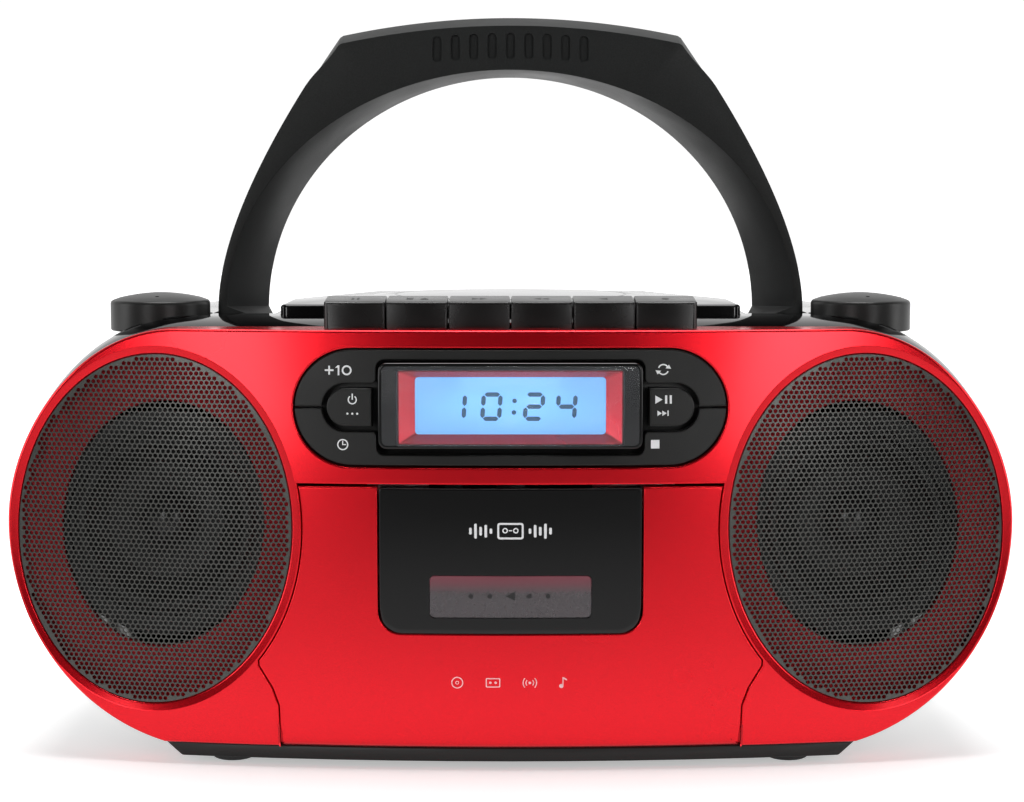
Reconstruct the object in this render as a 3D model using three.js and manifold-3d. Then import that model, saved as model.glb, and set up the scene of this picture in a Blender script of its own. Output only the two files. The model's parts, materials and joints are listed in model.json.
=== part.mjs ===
// A portable stereo with a cassette deck, a disc well, twin speakers and a fold-back carrying handle.
// Millimetres, +Z up. X runs left to right seen from the front, Y runs from the front to the back.
// The origin is the centre of the footprint, on the surface that the feet stand on.
import * as THREE from "three";
import { mergeVertices } from "three/addons/utils/BufferGeometryUtils.js";
import Module from "manifold-3d";

const wasm = await Module();
wasm.setup();

// ---------------------------------------------------------------- driving dimensions
// Casing outline, seen from the front: straight top and bottom, elliptical ends.
const HALF_WIDTH = 213;
const TOP_Z = 187;
const MID_Z = 99.5; // widest level
const FLOOR_Z = 9; // flat underside of the shells
const UPPER_END = { x: 138, a: 75, b: TOP_Z - MID_Z };
const LOWER_END = { x: 123, a: 90, b: 93.5 };
// Casing depth.
const FRONT_Y = -95; // most forward point of the bowed front
const REAR_Y = 95;
const RIM_Y = -66; // front skin at the two ends
const CROWN = 5; // rise of the front skin from top and bottom to the middle
const BOW = RIM_Y - FRONT_Y - CROWN; // rise of the front skin from the ends to the middle
const PART_Y = -52; // joint between the front and rear shells
const WALL = 2.6;
const GAP = 0.3; // clearance between pieces that touch

const SPEAKER = { x: 147.5, z: 99.5, tilt: (5 * Math.PI) / 180 };
const GRILLE = { x: 149.1, a: 58.6, b: 73.5 }; // centred a little outside the speaker
const BAFFLE = { y: -62, thick: 2.5, a: 42.5, b: 52.5 };
const RING_LIP = 4.4; // red lip of the front shell around each grille

const PANEL = { halfWidth: 89, z: 151.9, halfHeight: 24.3 }; // oval control panel
const DISPLAY = { halfWidth: 54, z0: 135.2, z1: 170.7, corner: 3.5 };
const BUTTON = { x0: 56.6, x1: 75.3, z0: 144.3, z1: 160.1 };
const BUTTON_BACK_Y = -85.6;
const TRAY_Y = -83.6;

const GROOVE_Z = 120.6; // seam over the lower front panel
const DOOR = {
  halfWidth: 54, z0: 59.3, z1: 119.7, corner: 9,
  hingeY: -89.2, hingeZ: 61, hingeR: 5, pinY: -88.2,
};
const WINDOW = { halfWidth: 33.4, z0: 63.9, z1: 83.2, corner: 2.2 };
const CASSETTE = { width: 100.4, z0: 52 }; // compact cassette, standing in its door

const KEY = {
  count: 6, pitch: 25.8, width: 25.2, frontY: -79.6, backY: -60.4, z0: 180, topFront: 194.6, topBack: 196.4,
};
const KEY_PIVOT = { y: -47, z: 180, r: 1.5 };

const KNOB = { x: 153, y: -28, r: 21.5, z0: 180, shoulderZ: 193.4, topZ: 196.4 };

const HANDLE = { y0: -21, y1: 13, pivotY: 1, pivotZ: 168, pinR: 3.5, outerX: 128.8, baseZ: 187.5 };
const HANDLE_TOP = { halfWidth: 74.5, cornerZ: 308.2, crownZ: 316.1, chamferY: -10, chamferDrop: 4.2 };
const HANDLE_ARCH = { a: 125, b: 104.7, z: 188.2, backScale: 110.4 / 125, backDrop: 1.5 };
const CHANNEL = { x0: 103, x1: 130.4, z0: 149.5, y0: -26, rearX: 72 };

const DISC = { y: 25.5, wellR: 62, floorZ: 176, lidR: 65.8, hingeY: 88.5, hingeZ: 190.2 };
const DECK = { frontY: -40.5, rearY: 92, frontX: 99.4, rearX: 66, z0: 181, z1: 191.5 };

const SPINDLE = { y0: -85.4, z: CASSETTE.z0 + 29.2, pitch: 42.5 };
const CHASSIS_Y = -73; // steel plate of the cassette deck
const FLYWHEEL = { x: 17, z: 106, r: 16, y: -66 };
const MOTOR = { x: 50, z: 104, r: 14, pulleyR: 4 };

const ANTENNA = { x: 166, y: 90.6, z: 140, r: 3.4, length: 190 };
const BATTERY = { halfWidth: 77, z0: 24, z1: 80, y0: 60, y1: 92.2 };
const PLINTH = { topX: 146, bottomX: 139, z0: 2.6, z1: 8.7, rearY: 84 };
const FOOT = { x: 118, frontY: -66, rearY: 68, r: 9 };

// ---------------------------------------------------------------- materials
const plastic = (color, roughness = 0.45) =>
  new THREE.MeshStandardMaterial({ color, roughness, metalness: 0 });
const metal = (color, roughness = 0.35) => new THREE.MeshStandardMaterial({ color, roughness, metalness: 1 });
const MATERIALS = {
  red: new THREE.MeshStandardMaterial({ color: 0xc8102e, roughness: 0.35, metalness: 0.4 }),
  glossBlack: plastic(0x0b0b0c, 0.12),
  satinBlack: plastic(0x1c1d1c, 0.5),
  handleBlack: plastic(0x252827, 0.6),
  perforated: metal(0x2b2c2b, 0.5),
  lens: new THREE.MeshStandardMaterial({ color: 0x9aa0a4, roughness: 0.05, transparent: true, opacity: 0.3 }),
  lcd: new THREE.MeshStandardMaterial({ color: 0x7cc4ff, roughness: 0.4, emissive: 0x3c7fbf }),
  rubber: plastic(0x151515, 0.85),
  paper: plastic(0x1a1a1b, 0.8),
  steel: metal(0xb9bbbd),
  chrome: metal(0xe3e5e7, 0.12),
  brass: metal(0xc9a45a),
  white: plastic(0xdedcd2),
  board: plastic(0x1f5a33, 0.6),
  grey: plastic(0x5a5c5e),
};

// ---------------------------------------------------------------- solid helpers
// A closed three.js geometry as a manifold-3d solid.
function solid(geometry) {
  const bare = geometry.clone();
  bare.deleteAttribute("normal");
  bare.deleteAttribute("uv");
  const merged = mergeVertices(bare, 1e-4);
  const mesh = new wasm.Mesh({
    numProp: 3,
    vertProperties: new Float32Array(merged.attributes.position.array),
    triVerts: new Uint32Array(merged.index.array),
  });
  const made = new wasm.Manifold(mesh);
  if (made.volume() >= 0) return made;
  const triangles = mesh.triVerts;
  for (let i = 0; i < triangles.length; i += 3) {
    const second = triangles[i + 1];
    triangles[i + 1] = triangles[i + 2];
    triangles[i + 2] = second;
  }
  return new wasm.Manifold(mesh);
}

// A manifold-3d solid as a three.js geometry.
function geometryOf(manifold) {
  const mesh = manifold.getMesh();
  const geometry = new THREE.BufferGeometry();
  geometry.setAttribute("position", new THREE.BufferAttribute(new Float32Array(mesh.vertProperties), 3));
  geometry.setIndex(new THREE.BufferAttribute(new Uint32Array(mesh.triVerts), 1));
  geometry.computeVertexNormals();
  return geometry;
}

const union = (...solids) => solids.reduce((a, b) => a.add(b));
const cut = (body, ...tools) => tools.reduce((a, b) => a.subtract(b), body);

// A box between two corners.
function block([x0, x1], [y0, y1], [z0, z1]) {
  const box = new THREE.BoxGeometry(x1 - x0, y1 - y0, z1 - z0);
  box.translate((x0 + x1) / 2, (y0 + y1) / 2, (z0 + z1) / 2);
  return solid(box);
}

// A round bar along one axis, from `from` to `to`. `at` is its place on the other two axes.
function bar(axis, r, from, to, at, segments = 16) {
  const rod = new THREE.CylinderGeometry(r, r, to - from, segments);
  if (axis === "x") rod.rotateZ(-Math.PI / 2).translate((from + to) / 2, at[0], at[1]);
  if (axis === "y") rod.translate(at[0], (from + to) / 2, at[1]);
  if (axis === "z") rod.rotateX(Math.PI / 2).translate(at[0], at[1], (from + to) / 2);
  return solid(rod);
}

// A plane shape drawn in X and Z, given thickness from yFront to yBack.
function slab(shape, yFront, yBack, curveSegments = 5) {
  const depth = yBack - yFront;
  const plate = new THREE.ExtrudeGeometry(shape, { depth, bevelEnabled: false, curveSegments });
  plate.rotateX(Math.PI / 2).translate(0, yBack, 0);
  return solid(plate);
}

// A plane shape drawn in X and Y, given height from z0 to z1.
function plate(shape, z0, z1, curveSegments = 6) {
  const slice = new THREE.ExtrudeGeometry(shape, { depth: z1 - z0, bevelEnabled: false, curveSegments });
  return solid(slice.translate(0, 0, z0));
}

function ellipse(x, z, a, b, tilt = 0, steps = 32) {
  const curve = new THREE.EllipseCurve(x, z, a, b, 0, 2 * Math.PI, false, tilt);
  return new THREE.Shape(curve.getPoints(steps).slice(0, -1));
}

const polygon = (points) => new THREE.Shape(points.map(([x, y]) => new THREE.Vector2(x, y)));

// A rectangle with rounded corners; the top two corners may have their own radius.
function roundedRect(x0, x1, z0, z1, r, rTop = r) {
  const s = new THREE.Shape();
  s.moveTo(x0 + r, z0).lineTo(x1 - r, z0).absarc(x1 - r, z0 + r, r, -Math.PI / 2, 0, false);
  s.lineTo(x1, z1 - rTop).absarc(x1 - rTop, z1 - rTop, rTop, 0, Math.PI / 2, false);
  s.lineTo(x0 + rTop, z1).absarc(x0 + rTop, z1 - rTop, rTop, Math.PI / 2, Math.PI, false);
  s.lineTo(x0, z0 + r).absarc(x0 + r, z0 + r, r, Math.PI, 1.5 * Math.PI, false);
  return s;
}

const stadium = (halfWidth, z, halfHeight) =>
  roundedRect(-halfWidth, halfWidth, z - halfHeight, z + halfHeight, halfHeight - 0.01);

// A lathed solid about a line parallel to Y (or Z); profile is [radius, height] pairs from axis to axis.
function turned(profile, segments = 24, axis = "y") {
  const lathe = new THREE.LatheGeometry(profile.map(([r, h]) => new THREE.Vector2(r, h)), segments);
  if (axis === "z") lathe.rotateX(Math.PI / 2);
  return solid(lathe);
}

// The stretch from a to b on the right, or its mirror image on the left, lowest value first.
const span = (side, a, b) => (side > 0 ? [a, b] : [-b, -a]);
const bothSides = (make) => [-1, 1].map(make);

// ---------------------------------------------------------------- casing surface
// Depth of the front skin: bowed in plan and crowned in height.
function frontSkin(x, z) {
  const u = x / HALF_WIDTH;
  const v = (z - MID_Z) / (z > MID_Z ? UPPER_END.b : LOWER_END.b);
  return RIM_Y - (1 - u * u) * (BOW + CROWN * (1 - v * v));
}

// Casing outline, clockwise from the top centre seen from the front, pulled in by `inset`.
function outline(inset) {
  const right = [];
  const flat = 3;
  const upper = 7;
  const lower = 6;
  for (let i = 0; i < flat; i++) right.push([(UPPER_END.x * i) / flat, TOP_Z - inset]);
  for (let i = 0; i < upper; i++) {
    const t = (Math.PI / 2) * (1 - i / upper);
    const x = UPPER_END.x + (UPPER_END.a - inset) * Math.cos(t);
    right.push([x, MID_Z + (UPPER_END.b - inset) * Math.sin(t)]);
  }
  const last = Math.asin((MID_Z - FLOOR_Z - inset) / (LOWER_END.b - inset));
  for (let i = 0; i < lower; i++) {
    const t = (last * i) / lower;
    const x = LOWER_END.x + (LOWER_END.a - inset) * Math.cos(t);
    right.push([x, MID_Z - (LOWER_END.b - inset) * Math.sin(t)]);
  }
  const corner = LOWER_END.x + (LOWER_END.a - inset) * Math.cos(last);
  for (let i = 0; i < flat; i++) right.push([corner * (1 - i / flat), FLOOR_Z + inset]);
  const left = right.slice(1).map(([x, z]) => [-x, z]).reverse();
  return [...right, [0, FLOOR_Z + inset], ...left];
}

// A lathed form whose rings are stretched from circles to the casing outline.
// Each ring has its share s of the outline and its depth y, a number or a function of x and z.
function casing(inset, rings) {
  const edge = outline(inset);
  const lathe = new THREE.LatheGeometry(rings.map((ring, j) => new THREE.Vector2(ring.s, j)), edge.length);
  const position = lathe.attributes.position;
  for (let i = 0; i <= edge.length; i++) {
    const [ex, ez] = edge[i % edge.length];
    rings.forEach(({ s, y }, j) => {
      const x = ex * s;
      const z = MID_Z + (ez - MID_Z) * s;
      position.setXYZ(i * rings.length + j, x, typeof y === "number" ? y : y(x, z), z);
    });
  }
  return solid(lathe);
}

const FRONT_RINGS = [[0, 0], [0.4, 0], [0.72, 0], [0.93, 0], [0.975, 0.9], [1, 4.5]];
const INNER_RINGS = [[0, 0], [0.4, 0], [0.72, 0], [1, 0]];

// Everything behind the front skin, as far back as yBack. `inset` also moves the skin back.
function frontBody(inset, yBack) {
  const chosen = inset > 1 ? INNER_RINGS : FRONT_RINGS;
  const skin = chosen.map(([s, drop]) => ({ s, y: (x, z) => frontSkin(x, z) + drop + inset }));
  return casing(inset, [...skin, { s: 1, y: yBack }, { s: 0, y: yBack }]);
}

// Everything between yFront and the rounded back.
function rearBody(inset, yFront) {
  const back = REAR_Y - inset;
  const edge = inset > 1 ? [[1, back]] : [[1, back - 6], [0.988, back - 1.8], [0.968, back]];
  const rings = [[0, yFront], [1, yFront], ...edge, [0, back]];
  return casing(inset, rings.map(([s, y]) => ({ s, y })));
}

const OUTER_FRONT = frontBody(0, PART_Y);
const OUTER_REAR = rearBody(0, PART_Y + GAP);
const grilleShape = (side, grow) =>
  ellipse(side * GRILLE.x, SPEAKER.z, GRILLE.a + grow, GRILLE.b + grow, side * SPEAKER.tilt);

// ---------------------------------------------------------------- casing pieces
// Outline of the lower front panel: a groove above, the speaker lips beside it and a bent seam below them.
function lowerPanelSolid(grow) {
  const z1 = GROOVE_Z - 0.6 + grow;
  const half = [
    [0, z1], [96, z1], [107 + grow, 48], [98.9 + grow, 34.4], [96.3 + grow, 27], [95.6 + grow, 5], [0, 5],
  ];
  const mirrored = half.slice(1, -1).map(([x, z]) => [-x, z]).reverse();
  const middle = slab(polygon([...half, ...mirrored]), FRONT_Y - 2, -78 + grow);
  const lips = bothSides((side) => slab(grilleShape(side, RING_LIP + GAP - grow), FRONT_Y - 3, -70));
  return cut(middle, ...lips);
}

function frontShell() {
  const skin = cut(OUTER_FRONT, frontBody(WALL, PART_Y + 1));
  const cups = bothSides((side) =>
    slab(grilleShape(side, RING_LIP), FRONT_Y, BAFFLE.y + BAFFLE.thick).intersect(OUTER_FRONT));
  const recesses = bothSides((side) => slab(grilleShape(side, 0.4), FRONT_Y - 2, BAFFLE.y));
  const hole = (side) => ellipse(side * SPEAKER.x, SPEAKER.z, BAFFLE.a, BAFFLE.b, side * SPEAKER.tilt);
  const holes = bothSides((side) => slab(hole(side), BAFFLE.y - 1, PART_Y));
  const panelHole = slab(stadium(PANEL.halfWidth, PANEL.z, PANEL.halfHeight), FRONT_Y - 2, -80, 8);
  const keySpan = (KEY.count * KEY.pitch) / 2 + 0.4;
  const keyNotch = block([-keySpan, keySpan], [KEY.frontY - 1.9, KEY.backY + 0.8], [176, TOP_Z + 9]);
  return cut(union(skin, ...cups), ...recesses, ...holes, panelHole, lowerPanelSolid(GAP), keyNotch);
}

function lowerFrontPanel() {
  const skin = cut(frontBody(0, -70), frontBody(WALL, -69));
  const panel = skin.intersect(lowerPanelSolid(0));
  const half = DOOR.halfWidth + 0.5;
  const opening = roundedRect(-half, half, DOOR.z0 - 0.6, GROOVE_Z + 5, DOOR.corner + 0.5, 0.6);
  const hingeRoom = bar("x", DOOR.hingeR + 0.5, -half, half, [DOOR.hingeY, DOOR.hingeZ], 20);
  const bosses = bothSides((side) => {
    const xs = span(side, DOOR.halfWidth + 1, DOOR.halfWidth + 5.5);
    return block(xs, [-91, -84], [DOOR.hingeZ - 4, DOOR.hingeZ + 4]);
  });
  const posts = [[-57.5, 53], [62, 53], [-57.5, 116], [62, 116]].map((at) =>
    bar("y", 2.4, -89.5, CHASSIS_Y - GAP, at, 12));
  const tabs = bothSides((side) => {
    const xs = span(side, 75, 85);
    return union(block(xs, [-89, -84.6], [112, 119.5]), block(xs, [-86.8, -84.6], [112, 125]));
  });
  const pinHole = bar("x", 1.9, -DOOR.halfWidth - 4.5, DOOR.halfWidth + 4.5, [DOOR.pinY, DOOR.hingeZ], 12);
  const skinWithDoorway = cut(panel, slab(opening, FRONT_Y - 2, -70));
  return cut(union(skinWithDoorway, ...bosses, ...posts, ...tabs), hingeRoom, pinHole);
}

// Plan of the raised deck, wide in front and narrow behind so that the folded handle passes it.
const deckPlan = (grow) => polygon([
  [-DECK.frontX - grow, DECK.frontY - grow], [DECK.frontX + grow, DECK.frontY - grow],
  [DECK.frontX + grow, 12], [DECK.rearX + grow, DECK.rearY + grow], [-DECK.rearX - grow, DECK.rearY + grow],
  [-DECK.frontX - grow, 12],
]);

// Room for a handle leg, open to the top and the back.
function channelSolid(side, grow, top, rear) {
  const corners = [
    [CHANNEL.x1 + grow, CHANNEL.y0 - grow], [CHANNEL.x1 + grow, rear], [CHANNEL.rearX - grow, rear],
    [CHANNEL.rearX - grow, REAR_Y + 2], [CHANNEL.x0 - grow, 15], [CHANNEL.x0 - grow, CHANNEL.y0 - grow],
  ].map(([x, y]) => [side * x, y]);
  return plate(polygon(corners), CHANNEL.z0 - grow, top);
}

function rearShell() {
  const skin = cut(OUTER_REAR, rearBody(WALL, PART_Y - 1));
  const channelWalls = bothSides((side) =>
    channelSolid(side, 2.4, TOP_Z + 1, REAR_Y + 3).intersect(OUTER_REAR));
  const channels = bothSides((side) => channelSolid(side, 0, TOP_Z + 5, REAR_Y + 8));
  const pinHoles = bothSides((side) => {
    const ends = span(side, CHANNEL.x0 - 6, CHANNEL.x1 + 6);
    return bar("x", HANDLE.pinR + GAP, ...ends, [HANDLE.pivotY, HANDLE.pivotZ]);
  });
  const knobPots = bothSides((side) => {
    const at = [side * KNOB.x, KNOB.y];
    const pot = bar("z", KNOB.r + 3.2, 177, TOP_Z, at, 32).intersect(OUTER_REAR);
    return union(pot, bar("z", KNOB.r + 3.2, 176.6, 179.5, at, 32));
  });
  const knobRooms = bothSides((side) => {
    const at = [side * KNOB.x, KNOB.y];
    return union(bar("z", KNOB.r + 1, 179.5, TOP_Z + 20, at, 32), bar("z", 3.4, 170, 180, at));
  });
  const { halfWidth, z0, z1, y0, y1 } = BATTERY;
  const bayBlock = (grow, ys) => block([-halfWidth - grow, halfWidth + grow], ys, [z0 - grow, z1 + grow]);
  const bay = union(bayBlock(2.2, [y0 - 2.2, REAR_Y - 4]), bayBlock(6, [y1 - 2.4, REAR_Y - 1]));
  const bayRoom = bayBlock(0, [y0, REAR_Y + 5]);
  const doorSeat = bayBlock(3, [y1, REAR_Y + 5]);
  const grooveBox = (x0, x1, depth, yBack, half) =>
    block([x0, x1], [ANTENNA.y - depth, yBack], [ANTENNA.z - half, ANTENNA.z + half]);
  const groove = grooveBox(-HALF_WIDTH - 5, 180, 5.2, REAR_Y + 5, 5.5);
  const grooveWalls = grooveBox(-HALF_WIDTH, 182.4, 7.4, REAR_Y, 7.6)
    .intersect(OUTER_REAR);
  const stubHole = bar("x", 3.3, 179, 184, [ANTENNA.y, ANTENNA.z], 20);
  const inletHole = block([112.6, 137.4], [80, REAR_Y + 5], [92.6, 111.4]);
  const vents = [];
  for (const x of [-150, 150]) {
    for (let i = 0; i < 7; i++) {
      vents.push(block([x - 28, x + 28], [80, REAR_Y + 5], [44 + i * 7, 47 + i * 7]));
    }
  }
  const posts = [[-74, -32], [74, -32], [-74, 46], [74, 46]].map(([x, y]) => bar("z", 3, 10, 17.7, [x, y], 12));
  const brackets = bothSides((side) => {
    const xs = span(side, 80, 84);
    return block(xs, [KEY_PIVOT.y - 4, KEY_PIVOT.y + 3.2], [KEY_PIVOT.z - 4, TOP_Z - 1]);
  });
  const shaftHole = bar("x", KEY_PIVOT.r + GAP, -82.4, 82.4, [KEY_PIVOT.y, KEY_PIVOT.z], 12);
  const solidParts = union(skin, ...channelWalls, ...knobPots, ...posts, ...brackets, bay, grooveWalls);
  const deckRoom = plate(deckPlan(GAP), DECK.z0 + 0.5, TOP_Z + 5);
  const rooms = [...channels, ...knobRooms, bayRoom, doorSeat, groove, deckRoom];
  return cut(solidParts, ...rooms, ...pinHoles, shaftHole, stubHole, inletHole, ...vents);
}

function topDeck() {
  const lip = plate(deckPlan(2.6), DECK.z0, TOP_Z - WALL - GAP);
  const plug = plate(deckPlan(0), DECK.z0, DECK.z1);
  const cup = bar("z", DISC.wellR + 2.4, DISC.floorZ - 2.6, DECK.z1, [0, DISC.y], 32);
  const lidRecess = bar("z", DISC.lidR + 0.4, DECK.z1 - 2.8, DECK.z1 + 5, [0, DISC.y], 32);
  const hingeRecess = block([-25, 25], [DISC.y + 50, DECK.rearY + 5], [DECK.z1 - 2.8, DECK.z1 + 5]);
  const well = bar("z", DISC.wellR, DISC.floorZ, DECK.z1 + 5, [0, DISC.y], 32);
  const cageRoom = block([-18.4, 18.4], [DISC.y - 22, DISC.y + 61], [158, DISC.floorZ - 2.6]);
  const cageWalls = block([-21, 21], [DISC.y - 19, DISC.y + 58], [156, DISC.floorZ - 1]);
  const cage = cut(cageWalls, cageRoom, bar("z", 1.3, 150, 160, [0, DISC.y], 12));
  const spindleHole = bar("z", 17.5, DISC.floorZ - 5, DISC.floorZ + 1, [0, DISC.y], 24);
  const sledSlot = block([-13, 13], [DISC.y + 10, DISC.y + 56], [DISC.floorZ - 5, DISC.floorZ + 1]);
  const clearOfShell = rearBody(WALL + GAP, PART_Y - 1);
  const lowerPart = cut(lip, block([-300, 300], [-300, 300], [DECK.z1, 400])).intersect(clearOfShell);
  const allowed = union(clearOfShell, plate(deckPlan(0), DECK.z0 + 1, DECK.z1));
  const raised = union(plug, cup, cage).intersect(allowed);
  const channels = bothSides((side) => channelSolid(side, 2.4 + GAP, TOP_Z, REAR_Y + 3));
  return cut(union(lowerPart, raised), lidRecess, hingeRecess, well, spindleHole, sledSlot, ...channels);
}

// Plan of the base: a bowed front like the casing's, straight sides and back.
function basePlan() {
  const front = [];
  for (let i = 0; i <= 12; i++) {
    const x = -150 + i * 25;
    front.push([x, RIM_Y - (1 - (x / HALF_WIDTH) ** 2) * BOW + 4]);
  }
  return polygon([...front, [150, PLINTH.rearY], [-150, PLINTH.rearY]]);
}

function basePlate() {
  const { topX, bottomX, z0, z1, rearY } = PLINTH;
  const section = polygon([[-bottomX, z0], [bottomX, z0], [topX, z1], [-topX, z1]]);
  return slab(section, FRONT_Y, rearY).intersect(plate(basePlan(), 0, 12));
}

function batteryDoor() {
  const { halfWidth, z0, z1, y1 } = BATTERY;
  const cover = block([-halfWidth - 2.7, halfWidth + 2.7], [y1 + GAP, REAR_Y - 0.3], [z0 - 2.7, z1 + 2.7]);
  const rib = block([-halfWidth + 4, halfWidth - 4], [y1 - 2.2, y1 + 1], [z1 - 4, z1 - 2]);
  const grip = bar("x", 2.2, -14, 14, [REAR_Y + 0.8, z1 - 6], 16);
  return cut(union(cover, rib), grip);
}

// ---------------------------------------------------------------- speakers
function grille(side) {
  const sheet = cut(frontBody(0.4, -60), frontBody(1.7, -59));
  return sheet.intersect(slab(grilleShape(side, 0), FRONT_Y - 2, -60));
}

// Driver frame and magnet, lathed about the driver's axis, with the bowl that the cone sits in cut out.
function speakerBasket() {
  const y = BAFFLE.y + BAFFLE.thick + GAP;
  const outer = turned([
    [0, y], [49, y], [49, y + 2], [43, y + 4.2], [25, y + 20], [27, y + 21], [27, y + 36], [0, y + 36],
  ], 20);
  const bowl = turned([
    [0, y - 1], [41, y - 1], [41, y + 3.6], [23, y + 19], [11, y + 19], [11, y + 24], [0, y + 24],
  ], 20);
  return cut(outer, bowl);
}

// Cone with its roll surround and dust cap.
function speakerCone() {
  const y = BAFFLE.y + BAFFLE.thick + GAP;
  return turned([
    [0, y + 7], [11, y + 11], [32, y + 1.6], [35, y - 0.6], [38.5, y + 1.2], [40.7, y + 1.2], [40.7, y + 2.2],
    [34, y + 2.4], [12, y + 14], [10, y + 14], [10, y + 22], [0, y + 22],
  ], 20);
}

// ---------------------------------------------------------------- control panel
const buttonZone = (side, grow) => {
  const { x0, x1, z0, z1 } = BUTTON;
  const r = (z1 - z0) / 2 + grow - 0.01;
  const cx = x1 - (z1 - z0) / 2;
  const s = new THREE.Shape();
  s.moveTo(side * (x0 - grow), z0 - grow).lineTo(side * cx, z0 - grow);
  const steps = 12;
  for (let i = 1; i < steps; i++) {
    const t = -Math.PI / 2 + (Math.PI * i) / steps;
    s.lineTo(side * (cx + r * Math.cos(t)), (z0 + z1) / 2 + r * Math.sin(t));
  }
  s.lineTo(side * cx, z1 + grow).lineTo(side * (x0 - grow), z1 + grow);
  return s;
};

// Half of the oval: everything over or under the seam, less the display and the two end buttons.
function rocker(up) {
  const seam = PANEL.z + 0.2;
  const { halfWidth, z0, z1, corner } = DISPLAY;
  const oval = slab(stadium(PANEL.halfWidth - 0.5, PANEL.z, PANEL.halfHeight - 0.5), FRONT_Y - 2, BUTTON_BACK_Y, 8)
    .intersect(frontBody(0, -80));
  const other = up ? [0, seam + 0.5] : [seam - 0.5, 300];
  const frameHole = roundedRect(-halfWidth - 0.6, halfWidth + 0.6, z0 - 0.6, z1 + 0.6, corner);
  const frame = slab(frameHole, FRONT_Y - 3, -80);
  const buttons = bothSides((side) => slab(buttonZone(side, 2), FRONT_Y - 3, -80));
  return cut(oval, block([-200, 200], [-200, 0], other), frame, ...buttons);
}

const endButton = (side) =>
  slab(buttonZone(side, 0), FRONT_Y - 2, BUTTON_BACK_Y).intersect(frontBody(-0.4, -80));

function controlTray() {
  return slab(stadium(PANEL.halfWidth + 3, PANEL.z, PANEL.halfHeight + 3), TRAY_Y, TRAY_Y + 2, 8);
}

function displayFrame() {
  const { halfWidth, z0, z1, corner } = DISPLAY;
  const body = slab(roundedRect(-halfWidth, halfWidth, z0, z1, corner), FRONT_Y + 0.4, TRAY_Y - GAP);
  const seatShape = roundedRect(-halfWidth + 1.2, halfWidth - 1.2, z0 + 1.2, z1 - 1.2, corner - 1);
  const lensSeat = slab(seatShape, FRONT_Y, -93);
  return cut(body, lensSeat, block([-46.3, 46.3], [-100, -80], [136.6, 167.7]));
}

function displayLens() {
  const { halfWidth, z0, z1, corner } = DISPLAY;
  const pane = roundedRect(-halfWidth + 1.5, halfWidth - 1.5, z0 + 1.5, z1 - 1.5, corner - 1.3);
  return slab(pane, FRONT_Y + 0.6, -93 - GAP);
}

// Picture-frame bevel around the LCD: a block with a hole that narrows towards the back.
function displayBezel() {
  const body = block([-46, 46], [-92.4, -86.6], [136.9, 167.4]);
  const hole = new THREE.BoxGeometry(2, 8, 2);
  const position = hole.attributes.position;
  for (let i = 0; i < position.count; i++) {
    const front = position.getY(i) < 0;
    position.setX(i, position.getX(i) * (front ? 45.6 : 39));
    position.setZ(i, 152.15 + position.getZ(i) * (front ? 15 : 10.6));
  }
  hole.translate(0, -89.2, 0);
  return cut(body, solid(hole));
}

const lcdPanel = () => block([-42, 42], [-86.3, TRAY_Y - GAP], [139, 165.4]);

// ---------------------------------------------------------------- cassette door and deck
function cassetteDoor() {
  const { halfWidth, z0, z1, corner, hingeY, hingeZ, hingeR, pinY } = DOOR;
  const face = slab(roundedRect(-halfWidth, halfWidth, z0 - 3, z1, corner, 0.8), FRONT_Y - 2, -70)
    .intersect(cut(frontBody(0, -60), frontBody(2.9, -59)));
  const below = block([-100, 100], [-120, -50], [0, hingeZ]);
  const roundBottom = bar("x", hingeR, -halfWidth, halfWidth, [hingeY, hingeZ], 20);
  const keptFace = union(cut(face, below), face.intersect(roundBottom));
  // The holder: an arm up each side of the cassette, and a rail under it.
  const inner = CASSETTE.width / 2 + 0.5;
  const outer = inner + 2.4;
  const arms = bothSides((side) => union(
    block(span(side, inner, outer), [-91.5, -78], [CASSETTE.z0 + 12, 112]),
    block(span(side, inner, outer), [-88.5, -78.5], [CASSETTE.z0 - 0.8, CASSETTE.z0 + 14]),
    bar("x", 3.2, ...span(side, inner, halfWidth), [pinY, hingeZ]),
    bar("x", 1.6, ...span(side, inner, halfWidth + 4), [pinY, hingeZ], 12),
  ));
  const rail = block([-outer, outer], [-88.5, -78.5], [CASSETTE.z0 - 0.8, CASSETTE.z0 + 0.9]);
  const { halfWidth: windowHalf, z0: sill, z1: head, corner: windowCorner } = WINDOW;
  const windowShape = roundedRect(-windowHalf, windowHalf, sill + 1.5, head, windowCorner);
  const windowHole = slab(windowShape, -120, -85);
  return cut(union(keptFace, ...arms, rail), windowHole);
}

function cassetteWindow() {
  const { halfWidth, z0, z1, corner } = WINDOW;
  const pane = roundedRect(-halfWidth + GAP, halfWidth - GAP, z0 + 1.5 + GAP, z1 - GAP, corner);
  return slab(pane, FRONT_Y - 2, -70)
    .intersect(cut(frontBody(0, -60), frontBody(2, -59)));
}

function deckChassis() {
  const sheet = block([-60, 66], [CHASSIS_Y, CHASSIS_Y + 1.6], [50, 122]);
  const hole = (r, at) => bar("y", r, CHASSIS_Y - 1, CHASSIS_Y + 3, at);
  const holes = bothSides((side) => hole(4.4, [(side * SPINDLE.pitch) / 2, SPINDLE.z]));
  const capstan = hole(1.8, [FLYWHEEL.x, FLYWHEEL.z]);
  const motorHole = hole(4.4, [MOTOR.x, MOTOR.z]);
  const headRoom = block([-16, 12.5], [CHASSIS_Y - 1, CHASSIS_Y + 3], [110, 125]);
  const rollerRoom = block([12, 24], [CHASSIS_Y - 1, CHASSIS_Y + 3], [109.4, 119]);
  return cut(sheet, ...holes, capstan, motorHole, headRoom, rollerRoom);
}

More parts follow.
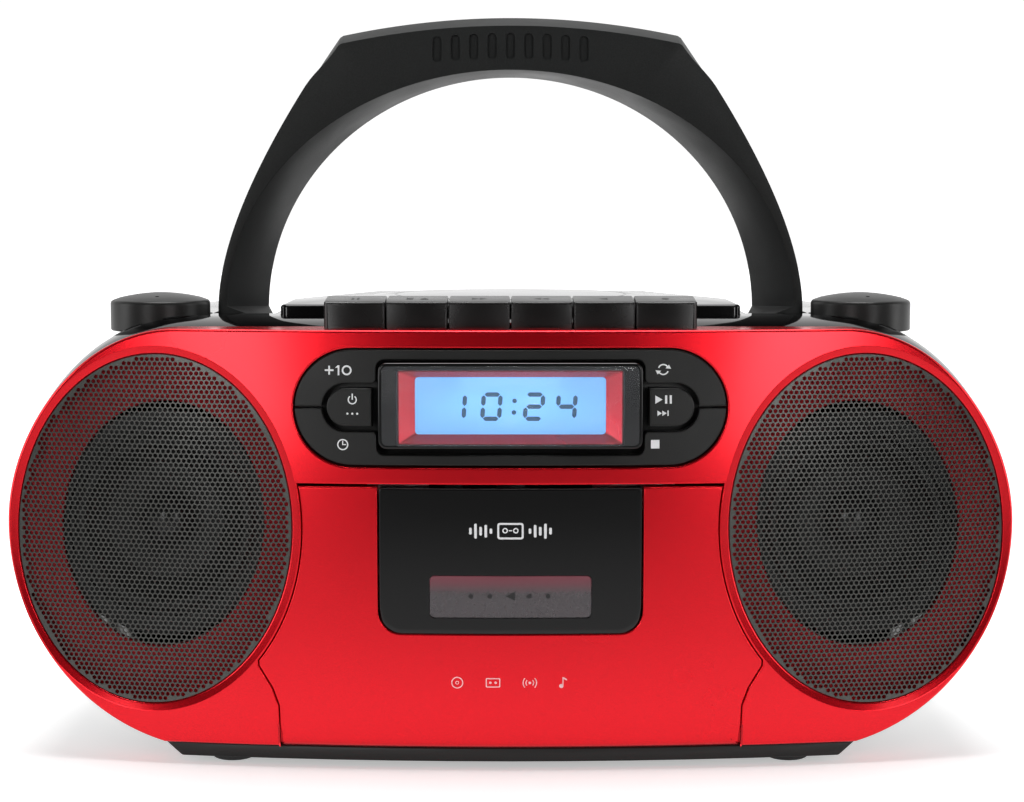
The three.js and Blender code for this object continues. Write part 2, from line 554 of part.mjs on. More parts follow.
// Reel spindle: six-ribbed nose in front of a hub that the belt drive turns.
function reelSpindle() {
  const body = turned([
    [0, SPINDLE.y0], [1.6, SPINDLE.y0 + 0.3], [2.6, SPINDLE.y0 + 2.5],
    [2.6, CHASSIS_Y - 5], [6.5, CHASSIS_Y - 5],
    [6.5, CHASSIS_Y - 3], [4, CHASSIS_Y - 3], [4, CHASSIS_Y + 3], [10, CHASSIS_Y + 3], [10, CHASSIS_Y + 6],
    [0, CHASSIS_Y + 6],
  ], 12);
  const ribs = [];
  for (let i = 0; i < 3; i++) {
    const fin = new THREE.BoxGeometry(7.6, 6, 0.9);
    fin.translate(0, SPINDLE.y0 + 5.6, 0).rotateY((i * Math.PI) / 3);
    ribs.push(solid(fin));
  }
  return union(body, ...ribs);
}

// Flywheel with its belt groove, and the capstan that it carries through the chassis.
function capstanFlywheel() {
  const y = FLYWHEEL.y;
  const r = FLYWHEEL.r;
  return turned([
    [0, -88], [1.2, -88], [1.2, y], [r, y], [r, y + 2], [r - 1.6, y + 2.4], [r - 1.6, y + 4.4], [r, y + 4.8],
    [r, y + 6.6], [0, y + 6.6],
  ]);
}

function motorPulley() {
  const y = FLYWHEEL.y;
  const r = MOTOR.pulleyR;
  return turned([
    [0, y + 0.4], [r + 1.2, y + 0.4], [r + 1.2, y + 2], [r, y + 2.4], [r, y + 4.4], [r + 1.2, y + 4.8],
    [r + 1.2, y + 6.2], [0, y + 6.2],
  ], 16);
}

// The motor stands behind the belt plane, its shaft side towards the chassis.
function deckMotor() {
  const y = FLYWHEEL.y + 8;
  const can = bar("y", MOTOR.r, y + 1.6, y + 24, [MOTOR.x, MOTOR.z], 28);
  const bracket = block([MOTOR.x - 4, MOTOR.x + 20], [y, y + 1.8], [MOTOR.z - 20, MOTOR.z + 14]);
  const leg = block([MOTOR.x + 13, MOTOR.x + 16], [CHASSIS_Y + 2, y + 1], [MOTOR.z - 20, MOTOR.z - 12]);
  return union(can, bracket, leg);
}

// Square-section belt round the flywheel and the motor pulley.
function driveBelt() {
  const y = FLYWHEEL.y + 3.4;
  const dx = MOTOR.x - FLYWHEEL.x;
  const dz = MOTOR.z - FLYWHEEL.z;
  const lean = Math.atan2(dz, dx);
  const loop = (grow) => {
    const r1 = FLYWHEEL.r - 1.6 + grow;
    const r2 = MOTOR.pulleyR + grow;
    const open = Math.acos((r1 - r2) / Math.hypot(dx, dz));
    const points = [];
    for (let i = 0; i <= 14; i++) {
      const t = lean + open + ((2 * Math.PI - 2 * open) * i) / 14;
      points.push([FLYWHEEL.x + r1 * Math.cos(t), FLYWHEEL.z + r1 * Math.sin(t)]);
    }
    for (let i = 0; i <= 6; i++) {
      const t = lean - open + (2 * open * i) / 6;
      points.push([MOTOR.x + r2 * Math.cos(t), MOTOR.z + r2 * Math.sin(t)]);
    }
    return polygon(points);
  };
  return cut(slab(loop(1.3), y - 0.5, y + 0.5), slab(loop(0.35), y - 1, y + 1));
}

// Sliding plate with the record and play head in the middle and the erase head beside it.
function headPlate() {
  const sheet = block([-34, 34], [CHASSIS_Y - 3.4, CHASSIS_Y - 2.2], [114, 127]);
  const tail = block([-5, 5], [CHASSIS_Y - 3.4, CHASSIS_Y + 6], [120, 122]);
  const head = block([-6, 6], [-87, CHASSIS_Y - 3], [118.4, 123.4]);
  const erase = block([-27, -20], [-86, CHASSIS_Y - 3], [118.6, 123.2]);
  return union(sheet, tail, head, erase);
}

// ---------------------------------------------------------------- keys, knobs, handle
function pianoKey(index) {
  const half = KEY.width / 2;
  const side = polygon([
    [KEY.frontY, KEY.z0], [KEY.backY, KEY.z0], [KEY.backY, KEY.topBack], [KEY.frontY + 1, KEY.topFront],
    [KEY.frontY, KEY.topFront - 1],
  ]);
  const cap = new THREE.ExtrudeGeometry(side, { depth: KEY.width, bevelEnabled: false });
  // The side view is drawn in Y and Z; turn its thickness from Z to X.
  const swap = new THREE.Matrix4().set(0, 0, 1, -half, 1, 0, 0, 0, 0, 1, 0, 0, 0, 0, 0, 1);
  const body = solid(cap.applyMatrix4(swap));
  const arm = block([-4, 4], [KEY.backY - 6, KEY_PIVOT.y], [KEY_PIVOT.z - 3, KEY_PIVOT.z + 2.6]);
  const hub = bar("x", 3.2, -4, 4, [KEY_PIVOT.y, KEY_PIVOT.z], 20);
  const bore = bar("x", KEY_PIVOT.r + GAP, -6, 6, [KEY_PIVOT.y, KEY_PIVOT.z], 16);
  const outside = index === 0 ? -1 : index === KEY.count - 1 ? 1 : 0;
  if (!outside) return cut(union(body, arm, hub), bore);
  const plan = new THREE.Shape();
  const r = 2.6;
  plan.moveTo(-outside * 20, KEY.frontY).lineTo(outside * (half - r), KEY.frontY);
  plan.quadraticCurveTo(outside * half, KEY.frontY, outside * half, KEY.frontY + r);
  plan.lineTo(outside * half, -40).lineTo(-outside * 20, -40);
  return cut(union(body, arm, hub).intersect(plate(plan, 160, 210, 6)), bore);
}

// Knob with a domed top and a short shaft; its pointer is a small dimple.
function knob() {
  const { r, z0, shoulderZ, topZ } = KNOB;
  const body = turned([
    [0, z0 - 12], [3, z0 - 12], [3, z0], [r, z0], [r, shoulderZ - 1.8], [r - 0.6, shoulderZ - 0.5],
    [r - 2, shoulderZ], [r * 0.5, topZ - 0.6], [0, topZ],
  ], 26, "z");
  return cut(body, bar("z", 0.9, shoulderZ + 0.2, topZ + 1, [0, -r * 0.62], 10));
}

// Half-outline of the handle seen from the front: leg, leaning shoulder and crowned grip.
function handleOutline() {
  const { outerX, baseZ, pivotZ } = HANDLE;
  const { halfWidth, cornerZ, crownZ } = HANDLE_TOP;
  const point = (x, z) => new THREE.Vector2(x, z);
  const side = new THREE.QuadraticBezierCurve(
    point(outerX, baseZ), point(outerX, baseZ + 44), point(halfWidth, cornerZ));
  const top = new THREE.QuadraticBezierCurve(
    point(halfWidth, cornerZ), point(0, 2 * crownZ - cornerZ), point(-halfWidth, cornerZ));
  const right = side.getPoints(10);
  const left = right.map((p) => point(-p.x, p.y)).reverse();
  const crown = top.getPoints(12).slice(1, -1);
  return new THREE.Shape([point(outerX, pivotZ), ...right, ...crown, ...left, point(-outerX, pivotZ)]);
}

function handle() {
  const { y0, y1, pivotY, pivotZ, pinR, outerX, baseZ } = HANDLE;
  // Outer form in two steps of depth; its top edge is pulled down at the front to make the chamfer.
  const depths = [y0, HANDLE_TOP.chamferY, y1];
  const outer = new THREE.ExtrudeGeometry(handleOutline(), { depth: 2, steps: 2, bevelEnabled: false });
  outer.rotateX(Math.PI / 2);
  const position = outer.attributes.position;
  for (let i = 0; i < position.count; i++) {
    const step = Math.round(2 + position.getY(i));
    const z = position.getZ(i);
    const lowered = step === 0 ? HANDLE_TOP.chamferDrop * THREE.MathUtils.smoothstep(z, 285, 306) : 0;
    position.setY(i, depths[step]);
    position.setZ(i, z - lowered);
  }
  // Room inside the arch: an upright ellipse that is narrower at the back.
  const arch = new THREE.Shape();
  arch.moveTo(-HANDLE_ARCH.a, 120).lineTo(HANDLE_ARCH.a, 120).lineTo(HANDLE_ARCH.a, HANDLE_ARCH.z);
  for (let i = 1; i < 36; i++) {
    const t = (Math.PI * i) / 36;
    arch.lineTo(HANDLE_ARCH.a * Math.cos(t), HANDLE_ARCH.z + HANDLE_ARCH.b * Math.sin(t));
  }
  arch.lineTo(-HANDLE_ARCH.a, HANDLE_ARCH.z);
  const room = new THREE.ExtrudeGeometry(arch, { depth: y1 - y0 + 2, bevelEnabled: false });
  room.rotateX(Math.PI / 2).translate(0, y1 + 1, 0);
  const point = room.attributes.position;
  for (let i = 0; i < point.count; i++) {
    if (point.getY(i) < (y0 + y1) / 2) continue;
    point.setX(i, point.getX(i) * HANDLE_ARCH.backScale);
    point.setZ(i, point.getZ(i) - HANDLE_ARCH.backDrop);
  }
  const legs = bothSides((side) => {
    const ends = span(side, CHANNEL.x0 + 5, outerX);
    const round = bar("x", (y1 - y0) / 2, ...ends, [(y0 + y1) / 2, pivotZ], 28);
    return union(round, block(ends, [y0, y1], [pivotZ, baseZ - 4]));
  });
  const pinHoles = bothSides((side) => {
    const ends = span(side, 95, 140);
    return bar("x", pinR + GAP, ...ends, [pivotY, pivotZ]);
  });
  return cut(union(cut(solid(outer), solid(room)), ...legs), ...pinHoles);
}

function handlePin(side) {
  const ends = span(side, CHANNEL.x0 - 4.4, CHANNEL.x1 + 4.4);
  return bar("x", HANDLE.pinR, ...ends, [HANDLE.pivotY, HANDLE.pivotZ]);
}

// ---------------------------------------------------------------- antenna
// Swivel stub: a pin along X in the shell and a fork that carries the mast's elbow.
function antennaSwivel() {
  const { x, y, z } = ANTENNA;
  const stub = bar("x", 3, x + 7, x + 17.4, [y, z], 20);
  const cheek = bar("x", 4, x + 5, x + 9, [y, z], 20);
  const fork = block([x - 3.4, x + 6], [y - 3.2, y + 3.2], [z - 3.6, z + 3.6]);
  const slot = block([x - 5, x + 4.6], [y - 5, y + 5], [z - 2, z + 2]);
  return cut(union(stub, cheek, fork), slot);
}

function antennaMast() {
  const { x, y, z, r, length } = ANTENNA;
  const tongue = block([x - 9, x + 1], [y - 2.6, y + 2.6], [z - 1.7, z + 1.7]);
  const nose = bar("z", 2.6, z - 1.7, z + 1.7, [x + 1, y], 16);
  const tube = bar("x", r, x - 6 - length, x - 6, [y, z], 24);
  const bore = bar("x", r - 0.7, x - 7 - length, x - 14, [y, z], 24);
  return cut(union(tongue, nose, tube), bore);
}

function antennaTube() {
  const { x, y, z, r, length } = ANTENNA;
  const tube = bar("x", r - 1, x - 7 - length, x - 16, [y, z], 20);
  return cut(tube, bar("x", r - 1.6, x - 8 - length, x - 22, [y, z], 20));
}

function antennaTip() {
  const { x, y, z, r, length } = ANTENNA;
  const rod = bar("x", r - 1.9, x - 8 - length, x - 24, [y, z], 16);
  const cap = bar("x", 3, x - 14 - length, x - 7.6 - length, [y, z], 20);
  return union(rod, cap);
}

// ---------------------------------------------------------------- disc player and electrics
function discLid() {
  const { y, lidR, hingeY, hingeZ } = DISC;
  const dome = turned([
    [0, 189], [lidR, 189], [lidR, 191.6], [lidR - 1.4, 192.6], [lidR * 0.6, 193.4], [0, 193.8],
  ], 36, "z").translate([0, y, 0]);
  const leaf = block([-24, 24], [y + 52, hingeY], [189, 191.4]);
  const behindHinge = block([-30, 30], [hingeY, hingeY + 9], [180, 200]);
  const barrel = bar("x", 1.3, -24, 24, [hingeY, hingeZ]);
  const clamp = bar("z", 13, 186.8, 190, [0, y], 20);
  return union(cut(union(dome, leaf), behindHinge), barrel, clamp);
}

function discPlatter() {
  return turned([
    [0, 153], [1, 153], [1, 176.6], [15, 176.6], [15, 178.2],
    [7.2, 178.2], [7.2, 180.2], [5, 181.3], [0, 181.3],
  ], 20, "z");
}

function discSled() {
  const body = block([-11, 11], [DISC.y + 22, DISC.y + 38], [158.4, 175.4]);
  const lens = bar("z", 4, 175, 177.6, [0, DISC.y + 29], 20);
  return union(body, lens);
}

function mainBoard() {
  const sheet = block([-80, 80], [-38, 52], [18, 19.6]);
  const parts = [[-60, -10, 8], [-30, 20, 12], [0, -15, 6], [34, 26, 14], [60, -4, 9]];
  const chips = parts.map(([x, y, h]) => block([x - 7, x + 7], [y - 7, y + 7], [19, 19.6 + h]));
  return union(sheet, ...chips);
}

function transformer() {
  const core = block([96, 140], [32, 74], [12, 54]);
  const coil = bar("y", 17, 24, 82, [118, 33], 24);
  return union(core, coil);
}

// Two-pole appliance inlet with an open socket at the back.
function mainsInlet() {
  const body = block([113, 137], [72, REAR_Y - 0.4], [93, 111]);
  const socket = slab(roundedRect(117.4, 132.6, 98.2, 105.8, 3.7), 80, REAR_Y + 2);
  const pins = [121.6, 128.4].map((x) => bar("y", 1.2, 79, 90, [x, 102], 12));
  return union(cut(body, socket), ...pins);
}

// A contact strip with two studs for one end of the battery bay.
function batteryContact(side) {
  const { halfWidth, z0, z1, y0, y1 } = BATTERY;
  const x = halfWidth - 0.3;
  const sheet = block(span(side, x - 0.6, x), [y0 + 2, y1 - 4], [z0 + 2, z1 - 2]);
  const studs = [38, 66].map((z) => bar("x", 4, ...span(side, x - 3, x), [(y0 + y1) / 2, z]));
  return union(sheet, ...studs);
}

// ---------------------------------------------------------------- assembly
const portableStereo = new THREE.Group();

function add(name, manifold, material, position = [0, 0, 0], parent = portableStereo) {
  const mesh = new THREE.Mesh(geometryOf(manifold), material);
  mesh.name = name;
  mesh.position.set(...position);
  parent.add(mesh);
  return mesh;
}

const sideName = (side) => (side < 0 ? "left" : "right");

add("front_shell", frontShell(), MATERIALS.red);
add("lower_front_panel", lowerFrontPanel(), MATERIALS.red);
add("rear_shell", rearShell(), MATERIALS.glossBlack);
add("top_deck", topDeck(), MATERIALS.glossBlack);
add("base_plate", basePlate(), MATERIALS.satinBlack);
add("battery_door", batteryDoor(), MATERIALS.glossBlack);
const foot = bar("z", FOOT.r, 0, PLINTH.z0 - GAP, [0, 0], 16);
for (const [row, y] of [["front", FOOT.frontY], ["rear", FOOT.rearY]]) {
  for (const side of [-1, 1]) {
    add(`foot_${row}_${sideName(side)}`, foot, MATERIALS.rubber, [side * FOOT.x, y, 0]);
  }
}

for (const side of [-1, 1]) {
  const name = sideName(side);
  const speaker = new THREE.Group();
  speaker.position.set(side * SPEAKER.x, 0, SPEAKER.z);
  portableStereo.add(speaker);
  add(`grille_${name}`, grille(side), MATERIALS.perforated);
  add(`speaker_basket_${name}`, speakerBasket(), MATERIALS.steel, [0, 0, 0], speaker);
  add(`speaker_cone_${name}`, speakerCone(), MATERIALS.paper, [0, 0, 0], speaker);
  add(`handle_pin_${name}`, handlePin(side), MATERIALS.steel);
  add(`battery_contact_${name}`, batteryContact(side), MATERIALS.brass);
}

add("control_tray", controlTray(), MATERIALS.satinBlack);
add("upper_rocker", rocker(true), MATERIALS.satinBlack);
add("lower_rocker", rocker(false), MATERIALS.satinBlack);
add("mode_button", endButton(-1), MATERIALS.satinBlack);
add("play_button", endButton(1), MATERIALS.satinBlack);
add("display_frame", displayFrame(), MATERIALS.glossBlack);
add("display_bezel", displayBezel(), MATERIALS.red);
add("display_lens", displayLens(), MATERIALS.lens);
add("lcd_panel", lcdPanel(), MATERIALS.lcd);

add("cassette_door", cassetteDoor(), MATERIALS.glossBlack);
add("cassette_window", cassetteWindow(), MATERIALS.lens);
add("deck_chassis", deckChassis(), MATERIALS.steel);
const spindle = reelSpindle();
add("supply_spindle", spindle, MATERIALS.white, [-SPINDLE.pitch / 2, 0, SPINDLE.z]);
add("take_up_spindle", spindle, MATERIALS.white, [SPINDLE.pitch / 2, 0, SPINDLE.z]);
add("capstan_flywheel", capstanFlywheel(), MATERIALS.brass, [FLYWHEEL.x, 0, FLYWHEEL.z]);
add("motor_pulley", motorPulley(), MATERIALS.white, [MOTOR.x, 0, MOTOR.z]);
add("deck_motor", deckMotor(), MATERIALS.steel);
add("drive_belt", driveBelt(), MATERIALS.rubber);
add("head_plate", headPlate(), MATERIALS.chrome);

const KEY_NAMES = ["pause", "stop_eject", "fast_forward", "rewind", "play", "record"];
KEY_NAMES.forEach((name, i) => {
  add(`key_${name}`, pianoKey(i), MATERIALS.satinBlack, [(i - (KEY.count - 1) / 2) * KEY.pitch, 0, 0]);
});
add("key_shaft", bar("x", KEY_PIVOT.r, -82, 82, [KEY_PIVOT.y, KEY_PIVOT.z]), MATERIALS.steel);

add("volume_knob", knob(), MATERIALS.satinBlack, [-KNOB.x, KNOB.y, 0]);
add("function_knob", knob(), MATERIALS.satinBlack, [KNOB.x, KNOB.y, 0]);
add("handle", handle(), MATERIALS.handleBlack);

add("antenna_swivel", antennaSwivel(), MATERIALS.satinBlack);
add("antenna_mast", antennaMast(), MATERIALS.chrome);
add("antenna_tube", antennaTube(), MATERIALS.chrome);
add("antenna_tip", antennaTip(), MATERIALS.chrome);

add("disc_lid", discLid(), MATERIALS.glossBlack);
add("disc_platter", discPlatter(), MATERIALS.satinBlack, [0, DISC.y, 0]);
add("disc_sled", discSled(), MATERIALS.grey);
add("main_board", mainBoard(), MATERIALS.board);
add("transformer", transformer(), MATERIALS.steel);
add("mains_inlet", mainsInlet(), MATERIALS.satinBlack);

export default portableStereo;
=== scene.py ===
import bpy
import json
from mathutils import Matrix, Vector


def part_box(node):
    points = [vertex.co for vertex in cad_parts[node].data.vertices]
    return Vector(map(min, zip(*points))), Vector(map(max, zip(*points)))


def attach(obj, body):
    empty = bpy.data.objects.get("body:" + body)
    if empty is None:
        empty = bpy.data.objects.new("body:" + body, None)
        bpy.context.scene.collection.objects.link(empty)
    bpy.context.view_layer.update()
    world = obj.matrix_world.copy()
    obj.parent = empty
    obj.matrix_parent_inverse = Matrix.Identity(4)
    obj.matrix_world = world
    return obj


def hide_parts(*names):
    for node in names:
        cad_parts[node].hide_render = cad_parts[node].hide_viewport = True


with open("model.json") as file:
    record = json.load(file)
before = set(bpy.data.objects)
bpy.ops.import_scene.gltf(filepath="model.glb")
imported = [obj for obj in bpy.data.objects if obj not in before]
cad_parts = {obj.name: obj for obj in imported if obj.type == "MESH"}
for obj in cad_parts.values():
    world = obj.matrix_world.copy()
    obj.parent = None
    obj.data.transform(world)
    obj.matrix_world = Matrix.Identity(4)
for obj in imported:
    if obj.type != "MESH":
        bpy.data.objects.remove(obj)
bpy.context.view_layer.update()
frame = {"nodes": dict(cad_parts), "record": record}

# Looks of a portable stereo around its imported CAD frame.
# Lengths here are millimetres unless a name says otherwise.
import json
import math

import bmesh
import bpy
import numpy as np
from mathutils import Vector
from mathutils.geometry import delaunay_2d_cdt

MM = 0.001
SCENE = bpy.context.scene


def box_mm(node):
    """Lowest and highest corner of a CAD node."""
    low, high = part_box(node)
    return [c / MM for c in low], [c / MM for c in high]


# ---- dimensions, as in the CAD source
SHELL_LOW, SHELL_HIGH = box_mm("front_shell")
HALF_WIDTH = SHELL_HIGH[0]
TOP_Z = SHELL_HIGH[2]
FLOOR_Z = SHELL_LOW[2]
MID_Z = 99.5
UPPER_X, UPPER_A, UPPER_B = 138, 75, TOP_Z - MID_Z
LOWER_X, LOWER_A, LOWER_B = 123, 90, 93.5
RIM_Y, BOW, CROWN = -66, 24, 5
REAR_Y = box_mm("rear_shell")[1][1]
GAP = 0.3
SPEAKER_X, SPEAKER_Z = 147.5, 99.5
GRILLE_X, GRILLE_A, GRILLE_B = 149.1, 58.6, 73.5
SPEAKER_TILT = math.radians(5)
RING_LIP = 4.4
BAFFLE_Y, BAFFLE_A, BAFFLE_B = -62, 42.5, 52.5
PANEL_HALF, PANEL_Z, PANEL_RISE = 89, 151.9, 24.3
DISPLAY_HALF, DISPLAY_Z0, DISPLAY_Z1 = 54, 135.2, 170.7
BUTTON_X0, BUTTON_X1, BUTTON_Z0, BUTTON_Z1 = 56.6, 75.3, 144.3, 160.1
GROOVE_Z = 120.1
DOOR_HALF, DOOR_Z0, DOOR_Z1, DOOR_CORNER = 54, 56.2, 119.2, 9
HINGE_Z, PIN_Y = 61, -88.2
WINDOW_HALF, WINDOW_Z0, WINDOW_Z1 = 33.4, 65.4, 83.2
DISC_Y, LID_R = 25.5, 65.8
KNOB_X, KNOB_Y, KNOB_R = 153, -28, 21.5
PIVOT_Y, PIVOT_Z = 1, 168
AX, AY, AZ = 166, 90.6, 140  # foot of the antenna mast


# ---- mesh helpers
def lathe(profile, segments=96, axis="z", at=(0, 0, 0)):
    """Turned form. Profile is (radius, height) pairs; the axis runs through `at`."""
    verts, faces, rings = [], [], []
    for r, h in profile:
        ring = []
        for i in range(1 if r < 1e-6 else segments):
            a = 2 * math.pi * i / segments
            u, v = r * math.cos(a), r * math.sin(a)
            p = {"z": (u, v, h), "y": (u, h, v), "x": (h, u, v)}[axis]
            ring.append(len(verts))
            verts.append((p[0] + at[0], p[1] + at[1], p[2] + at[2]))
        rings.append(ring)
    for low, high in zip(rings, rings[1:]):
        for i in range(segments):
            j = (i + 1) % segments
            quad = [low[i % len(low)], low[j % len(low)], high[j % len(high)], high[i % len(high)]]
            quad = list(dict.fromkeys(quad))
            if len(quad) > 2:
                faces.append(quad)
    return verts, faces


def cylinder(axis, r, a, b, at, segments=64):
    """Bar along an axis from a to b, through `at` on the other two axes."""
    x, y, z = {"x": (0, at[0], at[1]), "y": (at[0], 0, at[1]), "z": (at[0], at[1], 0)}[axis]
    return lathe([(0, a), (r, a), (r, b), (0, b)], segments, axis, (x, y, z))


def miter(loop):
    """Normals into the material of a counter-clockwise loop, long enough to keep an offset even."""
    ahead = np.roll(loop, -1, 0) - loop
    ahead /= np.linalg.norm(ahead, axis=1)[:, None]
    behind = np.roll(ahead, 1, 0)
    n1 = np.stack([-behind[:, 1], behind[:, 0]], 1)
    n2 = np.stack([-ahead[:, 1], ahead[:, 0]], 1)
    return (n1 + n2) / np.maximum(1 + (n1 * n2).sum(1), 0.35)[:, None]


def prism(loop, h0, h1, axis="z", r0=0, r1=0, steps=4):
    """Solid on a counter-clockwise loop from h0 to h1, its two rims rounded by r0 and r1."""
    loop = np.array(loop, float)
    normal = miter(loop)
    rows = []
    for r, h, sign in ((r0, h0, 1), (r1, h1, -1)):
        part = []
        for k in range(steps + 1 if r else 1):
            t = math.pi / 2 * k / steps if r else math.pi / 2
            part.append((r * (1 - math.sin(t)), h + sign * r * (1 - math.cos(t))))
        rows += part if sign > 0 else part[::-1]
    verts, faces, n = [], [], len(loop)
    for inset, h in rows:
        for u, v in loop + normal * inset:
            verts.append({"z": (u, v, h), "y": (u, h, v), "x": (h, u, v)}[axis])
    for k in range(len(rows) - 1):
        for i in range(n):
            j = (i + 1) % n
            faces.append([k * n + i, k * n + j, (k + 1) * n + j, (k + 1) * n + i])
    faces.append(list(range(n))[::-1])
    faces.append(list(range((len(rows) - 1) * n, len(rows) * n)))
    return verts, faces


def side_bar(side, r, a, b, at, segments):
    """Bar along X between a and b, on one side of the middle."""
    return cylinder("x", r, *sorted((side * a, side * b)), at, segments)


def rect(x0, x1, z0, z1):
    return [(x0, z0), (x1, z0), (x1, z1), (x0, z1)]


def block(xs, ys, zs, r=0):
    loop = rect(*xs, *ys)
    return prism(fillet(loop, r) if r else loop, zs[0], zs[1], "z", r, r, 3)


def circle_points(x, z, r, turns):
    """Points of a circle about (x, z) at these turns, in radians."""
    return [(x + r * math.cos(t), z + r * math.sin(t)) for t in turns]


def fillet(points, r, steps=5):
    """Counter-clockwise polygon with rounded corners. r is one radius or one for each corner."""
    radii = r if hasattr(r, "__len__") else [r] * len(points)
    out, n = [], len(points)
    for i, (p, radius) in enumerate(zip(points, radii)):
        p, a, b = Vector(p), Vector(points[i - 1]), Vector(points[(i + 1) % n])
        if radius <= 0:
            out.append(tuple(p))
            continue
        da, db = (a - p).normalized(), (b - p).normalized()
        half = da.angle(db) / 2
        centre = p + (da + db).normalized() * (radius / math.sin(half))
        start, end = p + da * (radius / math.tan(half)), p + db * (radius / math.tan(half))
        a0 = math.atan2(start.y - centre.y, start.x - centre.x)
        a1 = math.atan2(end.y - centre.y, end.x - centre.x)
        turn = (a1 - a0 + math.pi) % (2 * math.pi) - math.pi
        out += circle_points(centre.x, centre.y, radius, [a0 + turn * k / steps for k in range(steps + 1)])
    return out


def rectangle(x0, x1, z0, z1, r, steps=5):
    return fillet(rect(x0, x1, z0, z1), r, steps)


def densify(points, step):
    """Closed loop with its long sides divided."""
    out = []
    for i, p in enumerate(points):
        p, q = np.array(p, float), np.array(points[(i + 1) % len(points)], float)
        count = max(1, int(np.linalg.norm(q - p) / step))
        out += [p + (q - p) * k / count for k in range(count)]
    return np.array(out)


def ellipse(x, z, a, b, tilt, steps=180):
    t = np.arange(steps) * 2 * math.pi / steps
    u, v = a * np.cos(t), b * np.sin(t)
    c, s = math.cos(tilt), math.sin(tilt)
    return np.stack([x + u * c - v * s, z + u * s + v * c], 1)


def reshape(mesh, *steps):
    """Runs bmesh steps on a mesh."""
    form = bmesh.new()
    form.from_mesh(mesh)
    for step in steps:
        step(form)
    form.to_mesh(mesh)
    form.free()


def face_out(form):
    bmesh.ops.recalc_face_normals(form, faces=form.faces)


def add_object(name, data):
    mesh = bpy.data.meshes.new(name)
    verts = [tuple(float(c) * MM for c in v) for v in data[0]]
    mesh.from_pydata(verts, [], [list(map(int, f)) for f in data[1]])
    obj = bpy.data.objects.new(name, mesh)
    SCENE.collection.objects.link(obj)
    return obj


def piece(name, data, look, body, nodes=(), sharp=38, tidy=True, normals=None):
    """Adds a shown piece from vertices and faces, or from an object, and fixes it to a CAD body."""
    obj = data if isinstance(data, bpy.types.Object) else add_object(name, data)
    obj.name = name
    mesh = obj.data
    if tidy:
        reshape(mesh, lambda form: bmesh.ops.remove_doubles(form, verts=form.verts, dist=1e-7), face_out)
    mesh.shade_smooth()
    mesh.set_sharp_from_angle(angle=math.radians(sharp))
    if normals is not None:
        mesh.normals_split_custom_set_from_vertices(normals)
    mesh.materials.clear()
    mesh.materials.append(look)
    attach(obj, body)
    if nodes:
        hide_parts(*nodes)
    return obj


def carve(name, base, adds=(), cuts=(), common=()):
    """Solid made from others: base joined with adds, less cuts, within common."""
    made = add_object(name, base)
    tools = []
    for operation, forms in (("UNION", adds), ("DIFFERENCE", cuts), ("INTERSECT", common)):
        for form in forms:
            tool = form if isinstance(form, bpy.types.Object) else add_object("tool", form)
            for obj in (made, tool):
                reshape(obj.data, face_out)
            step = made.modifiers.new("step", "BOOLEAN")
            step.operation = operation
            step.solver = "MANIFOLD"
            step.object = tool
            tools.append(tool)
    bpy.context.view_layer.update()
    result = bpy.data.meshes.new_from_object(made.evaluated_get(bpy.context.evaluated_depsgraph_get()))
    made.modifiers.clear()
    made.data = result
    for tool in tools:
        bpy.data.objects.remove(tool)
    return made


def solid_of(obj):
    """Vertices and faces of an object, which is then removed."""
    data = [tuple(v.co / MM) for v in obj.data.vertices], [list(p.vertices) for p in obj.data.polygons]
    bpy.data.objects.remove(obj)
    return data


def rings_solid(loops):
    """Closed ring solid from loops of one length, each (points, y), joined in order and back round."""
    n = len(loops[0][0])
    verts = [(p[0], y, p[1]) for points, y in loops for p in points]
    faces = []
    for k in range(len(loops)):
        m = (k + 1) % len(loops)
        for i in range(n):
            j = (i + 1) % n
            faces.append([k * n + i, m * n + i, m * n + j, k * n + j])
    return verts, faces


def crossings(points, starts, ends):
    """Whether each point lies inside the closed figure of these segments."""
    x, z = points[:, 0][:, None], points[:, 1][:, None]
    x0, z0, x1, z1 = starts[:, 0], starts[:, 1], ends[:, 0], ends[:, 1]
    rise = np.where(abs(z1 - z0) < 1e-9, 1e-9, z1 - z0)
    hit = ((z0 > z) != (z1 > z)) & (x < (x1 - x0) * (z - z0) / rise + x0)
    return hit.sum(1) % 2 == 1


def lattice(low, high, pitch, row, extra):
    """Triangular lattice over a box. `row` is the height of a row over the pitch."""
    rows = int((high[1] - low[1]) / (pitch * row)) + extra
    columns = int((high[0] - low[0]) / pitch) + extra
    return np.array([(low[0] + (i + 0.5 * (j % 2)) * pitch, low[1] + j * pitch * row)
                     for j in range(rows) for i in range(columns)])


def fill(loops, step):
    """Triangles over the area inside closed loops, with a lattice of points of that step between them."""
    points = np.vstack(loops)
    starts, ends, edges, first = [], [], [], 0
    for loop in loops:
        n = len(loop)
        starts.append(loop)
        ends.append(np.roll(loop, -1, 0))
        edges += [(first + i, first + (i + 1) % n) for i in range(n)]
        first += n
    starts, ends = np.vstack(starts), np.vstack(ends)
    if step:
        inside = lattice(points.min(0), points.max(0), step, 0.866, 1)
        inside = inside[crossings(inside, starts, ends)]
        away = np.sqrt(((inside[:, None] - points[None]) ** 2).sum(2)).min(1)
        points = np.vstack([points, inside[away > 0.5 * step]])
    out = delaunay_2d_cdt([Vector(p) for p in points], edges, [], 0, 1e-7)
    found = np.array([tuple(v) for v in out[0]])
    source = {old: new for new, olds in enumerate(out[3]) for old in olds}
    triangles = np.array([f for f in out[2] if len(f) == 3])
    centres = found[triangles].mean(1)
    triangles = triangles[crossings(centres, starts, ends)]
    places, first = [], 0
    for loop in loops:
        places.append([source[first + i] for i in range(len(loop))])
        first += len(loop)
    return found, triangles, places


